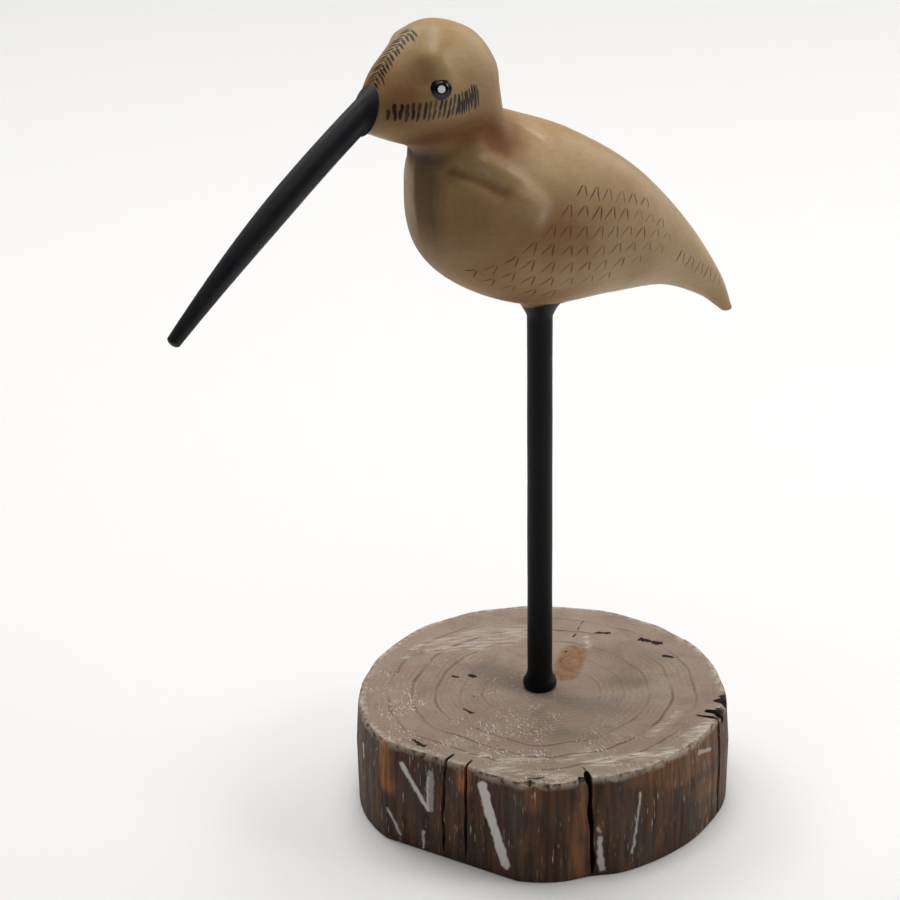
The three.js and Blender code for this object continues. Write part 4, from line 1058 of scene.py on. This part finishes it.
face_run = np.subtract(BACK[-1], BELLY[-1])
face = face_run / np.linalg.norm(face_run)
bill_root = np.add(BACK[-1], BELLY[-1]) / 2 + np.array([-face[1], face[0]]) * GLUE_LINE
taper_share = (1 - BILL_TAPER[0]) / (BILL_TAPER[1] - BILL_TAPER[0])
full_taper = taper_share ** 2 * (3 - 2 * taper_share)

# Black paint brushed along smooth wood: deep black, with a soft uneven shine.
bill_paint, tree, out = material("brushed_black_paint_on_smooth_wood")
in_mm = in_millimetres(tree)
brushed = add(tree, "ShaderNodeTexNoise", {"Vector": in_mm, "Scale": 1 / 6, "Detail": 3.0})
brushed = add(tree, "ShaderNodeMapRange", {0: brushed.outputs["Fac"], 1: 0.3, 2: 0.7, 3: 0.42, 4: 0.56})
coat = add(tree, "ShaderNodeBsdfPrincipled", {
    "Base Color": paint("#0d0e13"), "Roughness": brushed, "Specular IOR Level": 0.36})
tree.links.new(coat.outputs[0], out.inputs[0])

tree, given, beak = nodes_for("painted_bill", {
    "Root": (bill_root[0] * MM, 0.0, bill_root[1] * MM), "Bend": (BILL_BEND[0] * MM, 0.0, BILL_BEND[1] * MM),
    "Tip": (BILL_TIP[0] * MM, 0.0, BILL_TIP[1] * MM), "Face": (float(face[0]), 0.0, float(face[1])),
    "Radius": BILL_RADIUS * MM, "Tip radius": BILL_TIP_RADIUS * MM, "Tip round": BILL_TIP_ROUND * MM,
    "Root half width": HALF_WIDTH[-1] * MM, "Taper from": BILL_TAPER[0], "Taper to": BILL_TAPER[1],
    "Taper at tip": full_taper, "Blend": BILL_BLEND, "Flare": BILL_FLARE,
    "Steps": BILL_STEPS, "Tip steps": BILL_TIP_STEPS, "Paint": bill_paint}, "bill_shape")
size = given.outputs
count = add(tree, "ShaderNodeMath", {0: size["Steps"], 1: size["Tip steps"]}, operation="ADD")
count = add(tree, "ShaderNodeMath", {0: count, 1: 1.0}, operation="ADD")
line = add(tree, "GeometryNodeMeshLine", {"Count": count})
line = add(tree, "GeometryNodeMeshToCurve", {0: line})
order = add(tree, "GeometryNodeInputIndex")
share = add(tree, "ShaderNodeMath", {0: order, 1: size["Steps"]}, operation="DIVIDE")
share = add(tree, "ShaderNodeMath", {0: share, 1: 1.0}, operation="MINIMUM")
past = add(tree, "ShaderNodeMath", {0: order, 1: size["Steps"]}, operation="SUBTRACT")
past = add(tree, "ShaderNodeMath", {0: past, 1: 0.0}, operation="MAXIMUM")
past = add(tree, "ShaderNodeMath", {0: past, 1: size["Tip steps"]}, operation="DIVIDE")
past = add(tree, "ShaderNodeMath", {0: past, 1: math.radians(88)}, operation="MULTIPLY")
past_sine = add(tree, "ShaderNodeMath", {0: past}, operation="SINE")
past_cosine = add(tree, "ShaderNodeMath", {0: past}, operation="COSINE")
first = add(tree, "ShaderNodeMix", {0: share, 4: size["Root"], 5: size["Bend"]}, data_type="VECTOR")
second = add(tree, "ShaderNodeMix", {0: share, 4: size["Bend"], 5: size["Tip"]}, data_type="VECTOR")
centre = add(tree, "ShaderNodeMix", {0: share, 4: first.outputs[1], 5: second.outputs[1]}, data_type="VECTOR")
ahead = add(tree, "ShaderNodeVectorMath", {0: second.outputs[1], 1: first.outputs[1]}, operation="SUBTRACT")
ahead = add(tree, "ShaderNodeVectorMath", {0: ahead}, operation="NORMALIZE")
reach_on = add(tree, "ShaderNodeMath", {0: past_sine, 1: size["Tip round"]}, operation="MULTIPLY")
reach_on = add(tree, "ShaderNodeVectorMath", {0: ahead, "Scale": reach_on}, operation="SCALE")
centre = add(tree, "ShaderNodeVectorMath", {0: centre.outputs[1], 1: reach_on}, operation="ADD")
taper = add(tree, "ShaderNodeMapRange", {0: share, 1: size["Taper from"], 2: size["Taper to"]},
            interpolation_type="SMOOTHSTEP")
taper = add(tree, "ShaderNodeMath", {0: taper, 1: size["Taper at tip"]}, operation="DIVIDE")
width = add(tree, "ShaderNodeMix", {0: taper, 2: size["Radius"], 3: size["Tip radius"]})
width = add(tree, "ShaderNodeMath", {0: width.outputs[0], 1: past_cosine}, operation="MULTIPLY")
line = add(tree, "GeometryNodeSetPosition", {"Geometry": line, "Position": centre})
kept = {}
for label, value, kind in (("share", share, "FLOAT"), ("centre", centre, "FLOAT_VECTOR"),
                           ("ahead", ahead, "FLOAT_VECTOR"), ("width", width, "FLOAT")):
    line = add(tree, "GeometryNodeStoreNamedAttribute", {
        "Geometry": line, "Name": "bill_" + label, "Value": value}, data_type=kind, domain="POINT")
    kept[label] = add(tree, "GeometryNodeInputNamedAttribute", {"Name": "bill_" + label}, data_type=kind)
ring = add(tree, "GeometryNodeCurvePrimitiveCircle", {"Resolution": BILL_SIDES, "Radius": 1.0})
skin_of_bill = add(tree, "GeometryNodeCurveToMesh", {
    "Curve": line, "Profile Curve": ring, "Scale": kept["width"], "Fill Caps": True})
# The root is sheared onto the face's plane, and widened to the face there.
point = add(tree, "GeometryNodeInputPosition")
from_centre = add(tree, "ShaderNodeVectorMath", {0: point, 1: kept["centre"]}, operation="SUBTRACT")
over = add(tree, "ShaderNodeVectorMath", {0: kept["ahead"], 1: (0, 1, 0)}, operation="CROSS_PRODUCT")
over = add(tree, "ShaderNodeVectorMath", {0: over, "Scale": -1.0}, operation="SCALE")
rise_of = add(tree, "ShaderNodeVectorMath", {0: from_centre, 1: over}, operation="DOT_PRODUCT")
across_face = add(tree, "ShaderNodeVectorMath", {0: size["Face"], 1: (0, 1, 0)}, operation="CROSS_PRODUCT")
over_part = add(tree, "ShaderNodeVectorMath", {0: over, 1: across_face}, operation="DOT_PRODUCT")
ahead_part = add(tree, "ShaderNodeVectorMath", {0: kept["ahead"], 1: across_face}, operation="DOT_PRODUCT")
lean = add(tree, "ShaderNodeMath", {0: over_part.outputs["Value"], 1: ahead_part.outputs["Value"]},
           operation="DIVIDE")
turned = add(tree, "ShaderNodeMapRange", {0: kept["share"], 1: 0.0, 2: size["Blend"], 3: 1.0, 4: 0.0})
turned = add(tree, "ShaderNodeMath", {0: turned, 1: 2.0}, operation="POWER")
slide = add(tree, "ShaderNodeMath", {0: rise_of.outputs["Value"], 1: lean}, operation="MULTIPLY")
slide = add(tree, "ShaderNodeMath", {0: slide, 1: turned}, operation="MULTIPLY")
slide = add(tree, "ShaderNodeMath", {0: slide, 1: -1.0}, operation="MULTIPLY")
slide = add(tree, "ShaderNodeVectorMath", {0: kept["ahead"], "Scale": slide}, operation="SCALE")
flared = add(tree, "ShaderNodeMapRange", {0: kept["share"], 1: 0.0, 2: size["Flare"], 3: 1.0, 4: 0.0})
flared = add(tree, "ShaderNodeMath", {0: flared, 1: 2.0}, operation="POWER")
wider = add(tree, "ShaderNodeMath", {0: size["Root half width"], 1: kept["width"]}, operation="DIVIDE")
wider = add(tree, "ShaderNodeMix", {0: flared, 2: 1.0, 3: wider})
wider = add(tree, "ShaderNodeMath", {0: wider.outputs[0], 1: 1.0}, operation="SUBTRACT")
wide = add(tree, "ShaderNodeVectorMath", {0: from_centre, 1: (0, 1, 0)}, operation="MULTIPLY")
wide = add(tree, "ShaderNodeVectorMath", {0: wide, "Scale": wider}, operation="SCALE")
moved = add(tree, "ShaderNodeVectorMath", {0: slide, 1: wide}, operation="ADD")
shaped = add(tree, "GeometryNodeSetPosition", {"Geometry": skin_of_bill, "Offset": moved})
as_plain_mesh(tree, shaped, size["Paint"], beak)
beak.data.shade_smooth()
beak.data.set_sharp_from_angle(angle=math.radians(40))
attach(beak, "root")
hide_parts("bill")


# FLOOR, LIGHT AND CAMERA
# A pale floor in a white tent, lit softly from overhead, from behind on both sides and low from the
# right, with a little light from the front. A program's fit to the photographed brightness gave the
# first powers, and they were changed later.

floor_mesh = bpy.data.meshes.new("floor")
reach = 6.0
floor_mesh.from_pydata([(-reach, -reach, 0), (reach, -reach, 0), (reach, reach, 0), (-reach, reach, 0)],
                       [], [(0, 1, 2, 3)])
floor = bpy.data.objects.new("floor", floor_mesh)
bpy.context.scene.collection.objects.link(floor)
pale, tree, out = material("pale_floor")
sheet = add(tree, "ShaderNodeBsdfPrincipled", {"Base Color": paint("#f2f1ef"), "Roughness": 0.9})
tree.links.new(sheet.outputs[0], out.inputs[0])
floor_mesh.materials.append(pale)

# A program fitted the camera's height, its lens and its aim, with the distance held at 1.5 m. Another
# fit was run at six angles to the side, and 33 degrees had the lowest cost. The shift puts the dowel
# where it stands in the photograph, at 539.8 of 900 pixels.
CAMERA_SIDE, CAMERA_UP = math.radians(33), math.radians(25.724)
CAMERA_AWAY = 1.5
LOOK_AT = Vector((0, 0, 0.14067))
CAMERA_LENS, CAMERA_SHIFT = 162.9, -0.0998     # on a sensor 36 mm wide


def soft_light(name, side, up, away, size, power):
    """A square soft light that faces the bird: side and up are degrees seen from the camera."""
    around = math.radians(side) - CAMERA_SIDE
    up = math.radians(up)
    back = Vector((math.sin(around) * math.cos(up), -math.cos(around) * math.cos(up), math.sin(up)))
    lamp = bpy.data.lights.new(name, "AREA")
    lamp.shape, lamp.size, lamp.energy = "SQUARE", size, power
    lamp.color = (1, 1, 1)
    light = bpy.data.objects.new(name, lamp)
    light.matrix_world = Matrix.LocRotScale(LOOK_AT + back * away, back.to_track_quat("Z", "Y"), None)
    bpy.context.scene.collection.objects.link(light)


soft_light("overhead", 180, 78, 1.6, 0.8, 11.5)
soft_light("overhead_small", 180, 60, 1.6, 0.4, 2.8)
soft_light("top_front", -20, 80, 1.6, 1.2, 7.4)
soft_light("front_top", 10, 60, 1.6, 0.8, 0.8)
soft_light("back_left", -135, 45, 1.6, 0.8, 6.1)
soft_light("back_right", 135, 25, 1.6, 0.5, 1.2)
soft_light("right_small", 85, 32, 1.6, 0.55, 5.0)
soft_light("right_wide", 125, 12, 1.6, 1.6, 9.1)

# The tent's white back wall, which the edges and the top of the back mirror.
world = bpy.data.worlds.new("white_back_wall")
world.use_nodes = True
sky = world.node_tree
towards = add(sky, "ShaderNodeTexCoord").outputs["Generated"]
behind = (math.sin(CAMERA_SIDE), math.cos(CAMERA_SIDE), 0.17)
facing = add(sky, "ShaderNodeVectorMath", {0: towards, 1: behind}, operation="DOT_PRODUCT")
wall = add(sky, "ShaderNodeMapRange", {0: facing.outputs["Value"], 1: 0.35, 2: 0.95, 3: 0.02, 4: 0.35},
           interpolation_type="SMOOTHSTEP")
seen = add(sky, "ShaderNodeLightPath").outputs["Is Camera Ray"]
wall = add(sky, "ShaderNodeMix", {0: seen, 2: wall, 3: 0.9})
sky.links.new(wall.outputs[0], sky.nodes["Background"].inputs["Strength"])
sky.nodes["Background"].inputs["Color"].default_value = (1, 1, 1, 1)
bpy.context.scene.world = world

lens = bpy.data.cameras.new("camera")
lens.sensor_width = 36
lens.lens = CAMERA_LENS
lens.shift_x = CAMERA_SHIFT
lens.dof.use_dof = False
back = Vector((-math.sin(CAMERA_SIDE) * math.cos(CAMERA_UP), -math.cos(CAMERA_SIDE) * math.cos(CAMERA_UP),
               math.sin(CAMERA_UP)))
camera = bpy.data.objects.new("camera", lens)
camera.matrix_world = Matrix.LocRotScale(LOOK_AT + back * CAMERA_AWAY, back.to_track_quat("Z", "Y"), None)
bpy.context.scene.collection.objects.link(camera)
bpy.context.scene.camera = camera
